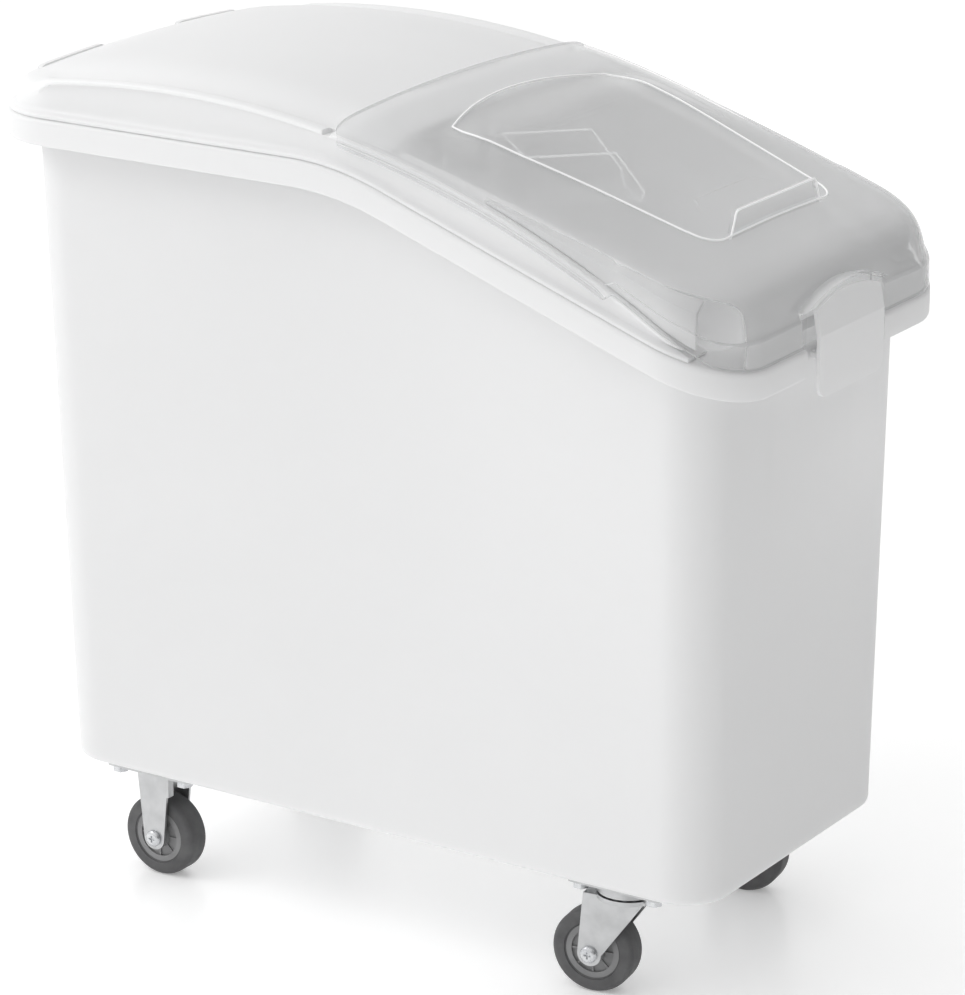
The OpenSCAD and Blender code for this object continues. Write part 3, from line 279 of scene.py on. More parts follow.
def boolean(obj, other, operation="DIFFERENCE"):
    step = obj.modifiers.new("boolean", "BOOLEAN")
    step.operation = operation
    step.solver = "MANIFOLD"
    step.object = other
    with bpy.context.temp_override(object=obj, active_object=obj):
        bpy.ops.object.modifier_apply(modifier=step.name)
    bpy.data.objects.remove(other)


def shade(obj, angle=SHARP_DEG):
    edit = bmesh.new()
    edit.from_mesh(obj.data)
    bmesh.ops.remove_doubles(edit, verts=edit.verts, dist=WELD)
    edit.to_mesh(obj.data)
    edit.free()
    obj.data.shade_smooth()
    obj.data.set_sharp_from_angle(angle=math.radians(angle))


def piece(obj, body, material, *stands_for, slot=None):
    """Puts a finished piece on its body, with its finish and the nodes that it stands for."""
    obj.data.materials.clear()
    obj.data.materials.append(material)
    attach(obj, body)
    if stands_for:
        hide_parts(*stands_for)
    return obj


# Materials

RANGE_SOCKETS = ("From Min", "From Max", "To Min", "To Max")


class Finish:
    """A principled material with short calls for its procedural inputs."""

    def __init__(self, name, **sockets):
        self.material = bpy.data.materials.new(name)
        self.material.use_nodes = True
        self.tree = self.material.node_tree
        self.shader = self.tree.nodes["Principled BSDF"]
        self.place = self.tree.nodes.new("ShaderNodeTexCoord").outputs["Object"]
        for socket, value in sockets.items():
            self.shader.inputs[socket.replace("_", " ")].default_value = value

    def link(self, output, socket):
        self.tree.links.new(output, self.shader.inputs[socket])

    def noise(self, scale, detail=4, stretch=None):
        node = self.tree.nodes.new("ShaderNodeTexNoise")
        node.inputs["Scale"].default_value = scale
        node.inputs["Detail"].default_value = detail
        source = self.place
        if stretch:
            mapping = self.tree.nodes.new("ShaderNodeMapping")
            mapping.inputs["Scale"].default_value = stretch
            self.tree.links.new(source, mapping.inputs["Vector"])
            source = mapping.outputs["Vector"]
        self.tree.links.new(source, node.inputs["Vector"])
        return node.outputs["Fac"]

    def colours(self, value, dark, light, low=0.35, high=0.65):
        node = self.tree.nodes.new("ShaderNodeValToRGB")
        for stop, place, colour in zip(node.color_ramp.elements, (low, high), (dark, light)):
            stop.position = place
            stop.color = (*colour, 1)
        self.tree.links.new(value, node.inputs["Fac"])
        self.link(node.outputs["Color"], "Base Color")

    def spread(self, value, socket, low, high, from_low=0.3, from_high=0.7):
        node = self.tree.nodes.new("ShaderNodeMapRange")
        for name, number in zip(RANGE_SOCKETS, (from_low, from_high, low, high)):
            node.inputs[name].default_value = number
        self.tree.links.new(value, node.inputs["Value"])
        self.link(node.outputs["Result"], socket)

    def bump(self, value, strength, depth):
        node = self.tree.nodes.new("ShaderNodeBump")
        node.inputs["Strength"].default_value = strength
        node.inputs["Distance"].default_value = depth
        self.tree.links.new(value, node.inputs["Height"])
        self.link(node.outputs["Normal"], "Normal")


def white_plastic(name, tone, roughness, clouded):
    """Satin white plastic that lets some light through."""
    made = Finish(name, IOR=1.5, Subsurface_Weight=clouded, Subsurface_Radius=(1, 1, 1),
                  Subsurface_Scale=0.012)
    dark, light = ([level, level + 0.002, level + 0.005] for level in (tone, tone + 0.03))
    made.colours(made.noise(2.4), dark, light)
    made.spread(made.noise(9, 2), "Roughness", roughness - 0.03, roughness + 0.03)
    return made.material


def clear_plastic():
    made = Finish("clear_plastic", Base_Color=(0.95, 0.953, 0.956, 1), IOR=1.58)
    # Opacity follows a Layer Weight Fresnel term. Towards grazing angles the pale base colour comes up as a
    # painted reflection along the lid's edges and sides, on top of the shader's own gloss.
    weight = made.tree.nodes.new("ShaderNodeLayerWeight")
    weight.inputs["Blend"].default_value = 0.32
    made.spread(weight.outputs["Fresnel"], "Alpha", 0.03, 0.75, 0.1, 0.6)
    made.spread(made.noise(30), "Roughness", 0.05, 0.12)
    return made.material


def painted_glow_edge(name, painted_emission):
    """The same plastic on a thin edge or bead, nearly opaque white with a painted glow, standing in for the light
    that the edge gathers.
    """
    made = Finish(name, Base_Color=(0.97, 0.972, 0.975, 1), IOR=1.58, Alpha=0.85,
                  Emission_Color=(1, 1, 1, 1), Emission_Strength=painted_emission)
    made.spread(made.noise(30), "Roughness", 0.1, 0.2)
    return made.material


def zinc():
    made = Finish("zinc", Metallic=1)
    made.colours(made.noise(70, 6), (0.5, 0.505, 0.51), (0.57, 0.575, 0.58))
    made.spread(made.noise(160, 3), "Roughness", 0.3, 0.42)
    made.bump(made.noise(420, 3), 0.06, 0.0002)
    return made.material


def steel():
    made = Finish("steel", Metallic=1)
    made.colours(made.noise(120, 4), (0.55, 0.56, 0.58), (0.68, 0.69, 0.7))
    made.spread(made.noise(300, 3), "Roughness", 0.2, 0.32)
    return made.material


def tyre_rubber():
    made = Finish("tyre_rubber", IOR=1.45)
    made.colours(made.noise(60, 6), (0.085, 0.085, 0.087), (0.115, 0.115, 0.117))
    made.spread(made.noise(180, 4), "Roughness", 0.55, 0.7)
    made.bump(made.noise(700, 4), 0.12, 0.0003)
    return made.material


def hub_plastic():
    made = Finish("hub_plastic", IOR=1.5)
    made.colours(made.noise(40, 5), (0.215, 0.215, 0.218), (0.26, 0.26, 0.263))
    made.spread(made.noise(220, 3), "Roughness", 0.42, 0.55)
    made.bump(made.noise(800, 3), 0.06, 0.0002)
    return made.material


finishes = {
    "white_plastic": white_plastic("white_plastic", 0.83, 0.42, 0.4),
    "lid_plastic": white_plastic("lid_plastic", 0.87, 0.38, 0.3),
    "clear_plastic": clear_plastic(),
    # Bead finishes with a painted glow: faint on the grip and its lip, stronger on the scoop's rim
    "painted_glow_edge": painted_glow_edge("painted_glow_edge", 0.15),
    # The scoop's rim bead: nearly opaque white with a stronger painted glow
    "scoop_edge": painted_glow_edge("scoop_edge", 0.4),
    "zinc": zinc(),
    "steel": steel(),
    "tyre_rubber": tyre_rubber(),
    "hub_plastic": hub_plastic(),
}
for name, obj in nodes.items():
    obj.data.materials.clear()
    obj.data.materials.append(finishes[slots[name]])


# Tub: one moulded shell, with the rim turned down and a gap at the front for the latch

def wall_ring(up, inset):
    low = 1 - up
    return ring(inset - HALF_L + OVER_REAR + DRAFT_REAR * low,
                HALF_L - OVER_FRONT - DRAFT_FRONT * low - inset,
                HALF_W - OVER_SIDE - DRAFT_SIDE * low - inset, CORNER_R - inset)


def rim_ring(out, drop):
    points = ring(-HALF_L + OVER_REAR * (1 - out), HALF_L - OVER_FRONT * (1 - out),
                  HALF_W - OVER_SIDE * (1 - out), CORNER_R + OVER_SIDE * out)
    return raised(points, rim_top(points[:, 0]) - drop)


def wall_top(inset, drop):
    points = wall_ring(1, inset)
    return raised(points, rim_top(points[:, 0]) - drop)


def make_tub():
    lip = 1 - RIM_T / OVER_SIDE
    floor = BASE_Z + FLOOR_T
    profile = [
        (raised(wall_ring(0, BASE_EDGE * 1.5), BASE_Z), 0),
        (raised(wall_ring(0, 0), BASE_Z), BASE_EDGE),
        (wall_top(0, RIM_T), RIM_FILLET),
        (rim_ring(lip, RIM_T), SMALL_EDGE),
        (rim_ring(lip, RIM_H), SMALL_EDGE),
        (rim_ring(1, RIM_H), SMALL_EDGE),
        (rim_ring(1, 0), RIM_EDGE),
        (wall_top(WALL, 0), WALL / 2),
        (raised(wall_ring(0, WALL), floor), INNER_EDGE),
        (raised(wall_ring(0, WALL + INNER_EDGE * 1.5), floor), 0)]
    tub = loft("tub_shell", round_rows(*map(list, zip(*profile))))
    wall_x = HALF_L - OVER_FRONT
    gap = box_outline(-GAP_HALF, GAP_HALF, FRONT_Z - RIM_H * 2, FRONT_Z + RIM_H * 2)
    boolean(tub, prism("gap", gap, 0, wall_x + WALL / 2, HALF_L + RIM_H))
    inner_x, outer_x = wall_x - WALL / 2, HALF_L - RIM_T / 2
    cheek = [(inner_x, float(rim_top(inner_x)) - RIM_T / 2), (inner_x, FRONT_Z - RIM_H + RIM_T / 2),
             (outer_x, FRONT_Z - RIM_H + RIM_T / 2), (outer_x, float(rim_top(outer_x)) - RIM_T / 2)]
    for side in (-GAP_HALF - CHEEK_T, GAP_HALF):
        boolean(tub, prism("cheek", cheek, 1, side, side + CHEEK_T), "UNION")
    shade(tub)
    return piece(tub, "bin", finishes["white_plastic"], "tub")


# Rear lid: crowned top, rails along both long edges, arms to the front, ribs and the scoop's cradle

def lid_ring(inset):
    return ring(inset - HALF_L, HALF_L - inset, HALF_W - inset, max(RIM_R - inset, LID_T))


def crown(y):
    return LID_RISE - CROWN_FALL * (y / CROWN_HALF) ** 2


def lid_top(x, y):
    return arc_z(RAIL_R + crown(y), x)


RAIL_TOP_SHARE = 0.281
# Outer rows: inset at the rear, height share at the rear, inset at the rail, rise over the rail, rounding
EDGE_ROWS = [(0.188, 0.45, 0.181, 0, 0.6), (0.208, 0.60, 0.108, 0.02, 0.8),
             (0.24, 0.70, 0.1, 0.175, 2), (0.292, 0.79, 0.135, 0.263, 2),
             (0.365, 0.83, 0.188, RAIL_TOP_SHARE, 3), (0.448, 0.855, 0.333, RAIL_TOP_SHARE, 4),
             (0.542, 0.88, 0.396, 0.19, 4), (0.646, 0.90, 0.458, 0.094, 5),
             (0.792, 0.93, 0.583, 0.2, 6), (0.94, 0.965, 0.792, 0.438, 8), (1.125, 0.99, 1.083, 0.613, 10)]
TOP_SHARES = np.linspace(0.37, 0.965, 14)
STEP = LID_T / 8


def lid_row(rear_inset, rail_inset):
    a, b = lid_ring(rear_inset), lid_ring(rail_inset)
    weight = smooth(b[:, 0], RAIL_START_X, RAIL_START_X + RAIL_FADE)
    points = mix(a, b, weight[:, None])
    return points, points[:, 0], points[:, 1], weight


def edge_row(index):
    rear_inset, rear_share, rail_inset, rise, _ = EDGE_ROWS[index]
    points, x, y, weight = lid_row(rear_inset * LID_EDGE, rail_inset * LID_EDGE)
    base = rim_top(x)
    rail = np.maximum(arc_z(RAIL_R + rise * LID_RISE, x), base + LID_T * 2 + (index + 2) * STEP)
    return raised(points, mix(mix(base, lid_top(x, y), rear_share), rail, weight))


def top_row(inset, lift):
    points = lid_ring(inset)
    x, y = points.T
    return raised(points, np.maximum(lid_top(x, y), rim_top(x) + LID_T * 4) + lift)


def seat_row(inset, lift):
    points = lid_ring(inset)
    return raised(points, rim_top(points[:, 0]) + lift)


def band_row(inset, share):
    points = lid_ring(inset)
    x = points[:, 0]
    base = rim_top(x)
    return raised(points, base + np.maximum(LID_T * 2 + STEP, share * (arc_z(RAIL_R, x) - base)))


def under_row(rear_inset, rail_inset, share, steps):
    points, x, y, weight = lid_row(rear_inset, rail_inset)
    base = rim_top(x)
    drop = mix(LID_T - STEP * 2, LID_T * 2 + ARM_FALL / 4,
               ramp(x, LID_FRONT_X - LID_T * 9, LID_FRONT_X - LID_T * 2))
    rail = np.maximum(arc_z(RAIL_R - drop, x), base + SEAT_GAP + STEP * steps)
    return raised(points, mix(mix(base, lid_top(x, y), share) - LID_T, rail, weight))


def locate_row(inset):
    points = lid_ring(inset)
    x = points[:, 0]
    start = HALF_L - RIM_R - RIM_H
    drop = mix(-LOCATE_H, SEAT_GAP + STEP / 2, ramp(x, start, start + RIM_H / 2))
    return raised(points, rim_top(x) + drop)


def lid_rib(x, y0, y1, height, sink, at):
    y = np.linspace(y0, y1, 24)
    z = at(y)
    taper = np.minimum(1, np.minimum(abs(y - y0), abs(y1 - y)) / RIB_T + RIB_END)
    outline = np.vstack((np.column_stack((y, z - sink)), np.column_stack((y, z + height * taper))[::-1]))
    return prism("rib", outline, 0, x - RIB_T / 2, x + RIB_T / 2)


def at_scoop(u, v):
    return (SCOOP_X + u * math.cos(SCOOP_TURN) - v * math.sin(SCOOP_TURN),
            SCOOP_Y + u * math.sin(SCOOP_TURN) + v * math.cos(SCOOP_TURN))


def cradle(share):
    """Plate under the lid with a window for the scoop's handle."""
    u, half = -BOWL_L - HANDLE_L * share, HANDLE_W / 2 + CRADLE_GAP
    rim = RIM_Z - SCOOP_FALL
    handle_top = rim - HANDLE_FALL
    window = box_outline(-half, half, handle_top - HANDLE_T - CRADLE_GAP, handle_top + CRADLE_GAP)
    outer = half + CRADLE_RIM
    low = window[0][1] - CRADLE_RIM / 2
    corners = (at_scoop(u, outer), at_scoop(u, -outer))
    tops = [float(arc_z(RAIL_R + crown(y) - LID_T / 2, x)) for x, y in corners]
    plate = prism("cradle", [(-outer, low), (outer, low), (outer, tops[0]), (-outer, tops[1])], 0,
                  -CRADLE_T / 2, CRADLE_T / 2)
    boolean(plate, prism("window", window, 0, -CRADLE_T, CRADLE_T))
    x, y = at_scoop(u, 0)
    to_scoop = Matrix.Translation(Vector((x + MID_X, y, 0)) * MM) @ Matrix.Rotation(SCOOP_TURN, 4, "Z")
    plate.data.transform(to_scoop @ Matrix.Translation(Vector((-MID_X, 0, 0)) * MM))
    return plate


def make_rear_lid():
    inner = LOCATE_IN + LOCATE_T
    profile = [(top_row(HALF_W * share, -LID_T), 10) for share in TOP_SHARES[::-1]]
    profile += [
        (under_row(inner, inner, 0.9, 3), 0),
        (locate_row(inner), 0),
        (locate_row(LOCATE_IN), 0),
        (under_row(LOCATE_IN, LOCATE_IN, 0.9, 3), 0),
        (under_row(LID_EDGE / 2, LID_EDGE / 2, 0.82, 3), 0),
        (under_row(LID_EDGE / 3, BAND_IN + BAND_T + STEP, 0.5, 2), 0),
        (seat_row(BAND_IN + BAND_T, SEAT_GAP), 0),
        (seat_row(FLANGE_IN, SEAT_GAP), 0.4),
        (seat_row(FLANGE_IN, SEAT_GAP + LID_T), 1),
        (seat_row(mix(FLANGE_IN, BAND_IN, 0.7), SEAT_GAP + LID_T * 1.7), 2.5),
        (band_row(BAND_IN, 0.3), 4)]
    profile += [(edge_row(k), EDGE_ROWS[k][4]) for k in range(len(EDGE_ROWS))]
    profile += [(top_row(HALF_W * share, 0), 10) for share in TOP_SHARES]
    lid = loft("rear_lid_shell", round_rows(*map(list, zip(*profile))))

    for side in (-1, 1):
        boolean(lid, lid_rib(RIB_X, side * RIB_Y0, side * RIB_Y1, RIB_H, LID_T * 0.6,
                             lambda y: mix(RIM_Z, lid_top(RIB_X, y), RIB_SHARE)), "UNION")
    boolean(lid, lid_rib(RIDGE_X, -RIDGE_HALF, RIDGE_HALF, RIDGE_H, LID_T / 2,
                         lambda y: lid_top(RIDGE_X, y)), "UNION")

    for share in CRADLE_SHARES:
        boolean(lid, cradle(share), "UNION")

    window = HALF_W - LOCATE_IN - LOCATE_T - ARM_LIP
    low, high = FRONT_Z - RIM_H * 2, RIM_Z + LID_RISE * 5
    boolean(lid, prism("window", box_outline(-window, window, low, high), 0, LID_FRONT_X, HALF_L + RIM_H))
    boolean(lid, prism("arm_end", box_outline(-HALF_W - RIM_H, HALF_W + RIM_H, low, high), 0,
                       ARM_END_X, HALF_L + RIM_H))
    x = np.linspace(LID_FRONT_X, HALF_L, 60)
    arm_top = np.maximum(arc_z(RAIL_R - ARM_FALL, x), rim_top(x) + SEAT_GAP + LID_T)
    outline = [(LID_FRONT_X, high), *zip(x, arm_top), (HALF_L, high)]
    boolean(lid, prism("arm_top", outline, 1, RAIL_IN - HALF_W, HALF_W - RAIL_IN))
    notch_z = float(arc_z(RAIL_R + NOTCH_RISE, RIDGE_X))
    notch = box_outline(RIDGE_X - NOTCH_L / 2, RIDGE_X + NOTCH_L / 2, notch_z, high)
    for y0, y1 in ((-HALF_W - NOTCH_OUT, -HALF_W + NOTCH_IN), (HALF_W - NOTCH_IN, HALF_W + NOTCH_OUT)):
        boolean(lid, prism("notch", notch, 1, y0, y1))
    shade(lid)
    return piece(lid, "lid", finishes["lid_plastic"], "rear_lid")


# Clear lid: shell with a stepped skirt, a raised push grip and an arch over the latch

RAIL_TOP_R = RAIL_R + LID_RISE * RAIL_TOP_SHARE
LIFT_R = RAIL_TOP_R + OVER_GAP
HOOK_FADE = HOOK_IN * 2
# Outer rows: inset, height share, the inner skin's step in and down as shares of the skin, rounding
SHELL_ROWS = [(0.025, 0.37, 0.92, 0.5, 0.8), (0.083, 0.40, 0.92, 0.7, 0.8), (0.177, 0.71, 0.84, 0.6, 8),
              (0.271, 0.84, 0.64, 0.8, 6), (0.417, 0.93, 0.4, 0.92, 8), (0.667, 0.985, 0.2, 1, 10)]


def clear_top(x, y):
    return CLEAR_Z - CLEAR_FALL * x - CLEAR_BOW * (x / HALF_L) ** 2 - CROWN_FALL * (y / CROWN_HALF) ** 2


def hook_weight(x):
    return 1 - ramp(x, HOOK_END_X, HOOK_END_X + HOOK_FADE)


def clear_low(x):
    skirt = np.maximum(rim_top(x) + SKIRT_GAP, arc_z(RAIL_R + HOOK_T, x))
    arm_end = ARM_END_X + HOOK_GAP
    over = mix(arc_z(LIFT_R, x), skirt, ramp(x, arm_end, arm_end + RIM_R / 3))
    return mix(over, arc_z(RAIL_R - HOOK_GAP - HOOK_T, x), hook_weight(x))


def clear_ring(inset):
    return ring(TAIL_X + inset, HALF_L - inset, HALF_W - inset, max(RIM_R - inset, LID_T))


def low_row(inset, lift):
    points = clear_ring(inset)
    return raised(points, clear_low(points[:, 0]) + lift)


def shell_inset(index):
    return max(SHELL_ROWS[index][0] * LID_EDGE, CLEAR_IN + STEP)


def skin_inset(index):
    return shell_inset(index) + SHELL_ROWS[index][2] * CLEAR_T


def shell_z(index, x, y):
    """Height of an outer row. The inner skin stays over the rail."""
    _, share, _, step_down, _ = SHELL_ROWS[index]
    return np.maximum(mix(clear_low(x), clear_top(x, y), share),
                      arc_z(LIFT_R + step_down * CLEAR_T + index * STEP, x))


def skin_z(index, x, y):
    return shell_z(index, x, y) - SHELL_ROWS[index][3] * CLEAR_T


def shell_rows(inset, height):
    rows = []
    for index, row in enumerate(SHELL_ROWS):
        points = clear_ring(inset(index))
        rows.append((raised(points, height(index, *points.T)), row[4]))
    return rows


def hook_row(lift):
    a, b = clear_ring(CLEAR_IN + CLEAR_T), clear_ring(CLEAR_IN + CLEAR_T + HOOK_IN)
    reach = np.maximum(HOOK_LEAST, 1 - ramp(a[:, 0], HOOK_END_X - HOOK_FADE, HOOK_END_X))
    points = mix(a, b, reach[:, None])
    return raised(points, clear_low(points[:, 0]) + lift)


def grip_ring(inset):
    """Outline of the raised grip, with an arched rear end, in step with the outer rings."""
    radius = max(GRIP_R - inset, LIP_R)
    cx, cy = GRIP_X - inset - radius, GRIP_HALVES[-1] - inset - radius
    rear_half = GRIP_HALVES[0]
    arc_r = (rear_half ** 2 + GRIP_SAG ** 2) / (2 * GRIP_SAG)
    reach = math.asin(rear_half / arc_r)
    angle = np.linspace(reach, -reach, 2 * (CORNER_N + 1) + END_N)
    rear = np.column_stack((GRIP_REAR_X - GRIP_SAG + inset + arc_r * (1 - np.cos(angle)),
                            (arc_r - inset * arc_r / rear_half) * np.sin(angle)))
    x = between((cx,), (GRIP_REAR_X + inset,), SIDE_N)[:, 0]
    side = np.column_stack((x, np.interp(x, GRIP_XS, GRIP_HALVES) - inset))
    return np.vstack((
        corner(cx, -cy, radius, -90), between((cx + radius, -cy), (cx + radius, cy), END_N),
        corner(cx, cy, radius, 0), side, rear, (side * (1, -1))[::-1]))


def swell(x):
    """Rise of the lid round the grip, highest near the grip's rear end."""
    return SWELL_H * smooth(x, *SWELL_REAR) * (1 - SWELL_FALL * smooth(x, *SWELL_FRONT))


def grip_rows(skin):
    """Rows over the grip, for the outer side or, with a skin, the inner one."""
    rows = []
    for inset in GRIP_INSETS:
        points = grip_ring(inset + skin)
        x, y = points.T
        rows.append((raised(points, clear_top(x, y) + swell(x) - skin), 0))
    return rows


def lip_outline():
    """Upright lip at the front of the grip, seen from the front, with rounded upper corners."""
    base = float(clear_top(GRIP_X, LIP_HALF)) - CLEAR_T
    top = float(clear_top(GRIP_X, 0)) + LIP_H
    angle = np.radians(np.linspace(0, 90, ARC_N))
    side = np.column_stack((LIP_TOP_HALF - LIP_R * (1 - np.cos(angle)),
                            top - LIP_R * (1 - np.sin(angle))))
    return [(-LIP_HALF, base), (LIP_HALF, base), *side, *(side * (-1, 1))[::-1]]


def top_rows(outer_inset, grip_inset, lift):
    a, b = clear_ring(outer_inset), grip_ring(grip_inset)
    rows = []
    for t in TOP_BLENDS:
        points = mix(a, b, t)
        x, y = points.T
        rows.append((raised(points, clear_top(x, y) + swell(x) * smooth(t, 0, 1) + lift), 10))
    return rows


def arch_at(y, radius):
    return ARCH_Z - ARCH_R + np.sqrt(radius ** 2 - y ** 2)


def arch_outline(half, radius, foot):
    y = np.linspace(half, -half, 33)
    return [(-half, foot), (half, foot), *zip(y, arch_at(y, radius))]


def make_clear_lid():
    last = SHELL_ROWS[-1][0] * LID_EDGE
    inner, outer = shell_rows(skin_inset, skin_z), shell_rows(shell_inset, shell_z)
    profile = grip_rows(CLEAR_T)[::-1]
    profile += top_rows(last + CLEAR_T / 2, CLEAR_T, -CLEAR_T)[::-1] + inner[::-1]
    profile += [(low_row(CLEAR_IN + CLEAR_T, HOOK_T), 0), (hook_row(HOOK_T), 0.4), (hook_row(0), 0.4),
                (low_row(CLEAR_IN, 0), 0.6)]
    profile += outer + top_rows(last, 0, 0)
    profile += grip_rows(0)
    lid = loft("clear_lid_shell", round_rows(*map(list, zip(*profile))))

    boolean(lid, prism("lip", lip_outline(), 0, GRIP_X - LIP_T, GRIP_X), "UNION")
    angle = np.radians(np.linspace(90, 180, 12))
    curve = np.column_stack((CLEAR_R * (1 + np.cos(angle)),
                             HALF_W - CLEAR_IN - CLEAR_R * (1 - np.sin(angle))))
    rear_cut = [(TAIL_X * 2, -HALF_W * 2), (CLEAR_R, -HALF_W * 2), *(curve * (1, -1)), *curve[::-1],
                (CLEAR_R, HALF_W * 2), (TAIL_X * 2, HALF_W * 2)]
    boolean(lid, prism("rear_cut", rear_cut, 2, FRONT_Z, RIM_Z + RIM_H * 4))
    visor_x = HALF_L - VISOR_L
    visor = arch_outline(ARCH_HALF + VISOR_T, ARCH_R + VISOR_T, float(rim_top(visor_x)) + SKIRT_GAP)
    boolean(lid, prism("visor", visor, 0, visor_x, HALF_L - CLEAR_IN), "UNION")
    boolean(lid, prism("arch", arch_outline(ARCH_HALF, ARCH_R, FRONT_Z - RIM_H), 0,
                       HALF_L - RIM_R / 2, HALF_L + RIM_R / 2))
    shade(lid)
    return piece(lid, "slider", finishes["clear_plastic"], "clear_lid")


def bead(name, path, body, finish, closed=True):
    """Thin rounded bead along a path of points."""
    path = np.asarray(path, float)
    ahead, behind = np.roll(path, -1, axis=0), np.roll(path, 1, axis=0)
    if not closed:
        ahead[-1], behind[0] = path[-1], path[0]
    along = ahead - behind
    along /= np.linalg.norm(along, axis=1)[:, None]
    side = np.cross(along, BEAD_UP)
    side /= np.linalg.norm(side, axis=1)[:, None]
    up = np.cross(side, along)
    angles = np.linspace(0, math.tau, BEAD_N, endpoint=False)
    loops = [path + BEAD_R * (math.cos(angle) * side + math.sin(angle) * up) for angle in angles]
    n, count = BEAD_N, len(path)
    faces = [(k * n + j, k * n + (j + 1) % n, (k + 1) % count * n + (j + 1) % n, (k + 1) % count * n + j)
             for k in range(count if closed else count - 1) for j in range(n)]
    if not closed:
        faces += [tuple(range(n)), tuple(count * n - 1 - j for j in range(n))]
    made = new_object(name, np.stack(loops, axis=1).reshape(-1, 3), faces)
    outward(made)
    shade(made, BEAD_SHARP_DEG)
    return piece(made, body, finishes[finish], slot="clear_plastic")


def scoop_edge():
    """Edge of the scoop's bowl: the slanted mouth round under the front, and the rim round the back."""
    half, mouth_low = BOWL_W / 2, MOUTH_SHARE * BOWL_H
    angle = np.linspace(math.asin((mouth_low - BOWL_H + BOWL_R) / BOWL_R), math.pi / 2, ARC_N)
    arc = np.column_stack((half - BOWL_R * (1 - np.cos(angle)), BOWL_R - BOWL_H - BOWL_R * np.sin(angle)))
    mouth = [(0, v, w) for v, w in (*arc, *(arc * (-1, 1))[::-1])]
    rim = [(-MOUTH_L, -half, 0), (-BOWL_L, -half, 0), (-BOWL_L, half, 0), (-MOUTH_L, half, 0)]
    return [(*at_scoop(u, v), RIM_Z - SCOOP_FALL + w) for u, v, w in mouth + rim]


# Beads along the grip, its lip and the scoop's rim, in the finishes with a painted glow
def make_beads():
    points = grip_ring(0)
    x, y = points.T
    bead("grip_bead", raised(points, clear_top(x, y) + swell(x)), "slider", "painted_glow_edge")
    foot, *over = lip_outline()
    bead("lip_bead", [(GRIP_X, y, z) for y, z in (*over, foot)], "slider", "painted_glow_edge", False)
    # The scoop's rim bead gets the stronger painted glow
    bead("scoop_bead", scoop_edge(), "scoop_body", "scoop_edge")


def side_y(inset, x):
    return HALF_W - RIM_R + np.sqrt((RIM_R - inset) ** 2 - np.maximum(0, x - HALF_L + RIM_R) ** 2)


def make_runner(name, side):
    """White strip inside a clear side, over the rail and along the clear skin."""
    x = np.linspace(RUNNER_X0, ARM_END_X, 80)
    low = arc_z(RAIL_TOP_R + RUNNER_GAP, x)
    insets = (skin_inset(2) + RUNNER_GAP, skin_inset(2) + RUNNER_GAP + RUNNER_T, skin_inset(4))
    y0, y1, y2 = (side * side_y(inset, x) for inset in insets)
    z0, z2 = skin_z(2, x, HALF_W) - RUNNER_GAP, skin_z(4, x, HALF_W) - RUNNER_GAP * 2
    z1 = np.maximum(low + STEP, z0 - RUNNER_T)
    section = ((y0, low), (y1, low), (y1, z1), (y2, z2 - RUNNER_T), (y2, z2), (y0, z0))
    loops = np.stack([np.column_stack((x, y, z)) for y, z in section], axis=1)
    n, count = len(section), len(x)
    faces = [(k * n + j, k * n + (j + 1) % n, k * n + n + (j + 1) % n, k * n + n + j)
             for k in range(count - 1) for j in range(n)]
    faces += [tuple(reversed(range(n))), tuple(count * n - n + j for j in range(n))]
    strip = new_object(name, loops.reshape(-1, 3), faces)
    outward(strip)
    shade(strip)
    return strip


# Wheels: tyres turned about the axles

def revolve(name, profile, joint, count=96):
    """Closed ring turned about a wheel's joint axis, from points of radius and width."""
    axis = Vector(joint["axis"])
    across = Vector((axis.y, -axis.x, 0))
    centre = Vector(joint["pos_m"]) / MM - Vector((MID_X, 0, 0))
    n = len(profile)
    points = []
    for k in range(count):
        angle = math.tau * k / count
        arm = across * math.cos(angle) + Vector((0, 0, 1)) * math.sin(angle)
        points += [centre + arm * radius + axis * width for radius, width in profile]
    faces = [(k * n + i, k * n + (i + 1) % n, (k + 1) % count * n + (i + 1) % n, (k + 1) % count * n + i)
             for k in range(count) for i in range(n)]
    made = new_object(name, points, faces)
    outward(made)
    shade(made)
    return made


def quarter(radius, width, size, start):
    """Points of a quarter circle in radius and width."""
    angle = np.radians(start + np.linspace(0, 90, ARC_N))
    return list(zip(radius + size * np.cos(angle), width + size * np.sin(angle)))


def tyre_profile():
    groove = (WHEEL_W - HUB_RIM_W) / 2
    half = quarter(HUB_R, WHEEL_W / 2, groove, -90)
    half += quarter(WHEEL_R - TREAD_R, WHEEL_W / 2 - TREAD_R, TREAD_R, 0)[::-1]
    return half + [(radius, -width) for radius, width in half[::-1]]


# Solids of the frame with small rounded edges

EDGE_WIDTHS = {"hub": 0.4, "fork": 0.5, "plate": 0.5, "nut": 0.5, "bolt": 0.4, "latch": 0.9, "scoop": 0.7}


def soften(name, width):
    """Copy of a node's solid with its sharp edges rounded."""
    obj = bpy.data.objects.new(name + "_soft", nodes[name].data.copy())
    bpy.context.collection.objects.link(obj)
    edit = bmesh.new()
    edit.from_mesh(obj.data)
    bmesh.ops.remove_doubles(edit, verts=edit.verts, dist=NODE_WELD)
    bmesh.ops.dissolve_limit(edit, angle_limit=math.radians(FLAT_DEG), verts=edit.verts, edges=edit.edges)
    edit.to_mesh(obj.data)
    edit.free()
    obj.data.shade_smooth()
    obj.data.set_sharp_from_angle(angle=math.radians(SHARP_DEG))
    step = obj.modifiers.new("edges", "BEVEL")
    step.width = width * MM
    step.segments = 2
    step.limit_method = "ANGLE"
    step.angle_limit = math.radians(BEVEL_DEG)
    step.harden_normals = True
    return obj


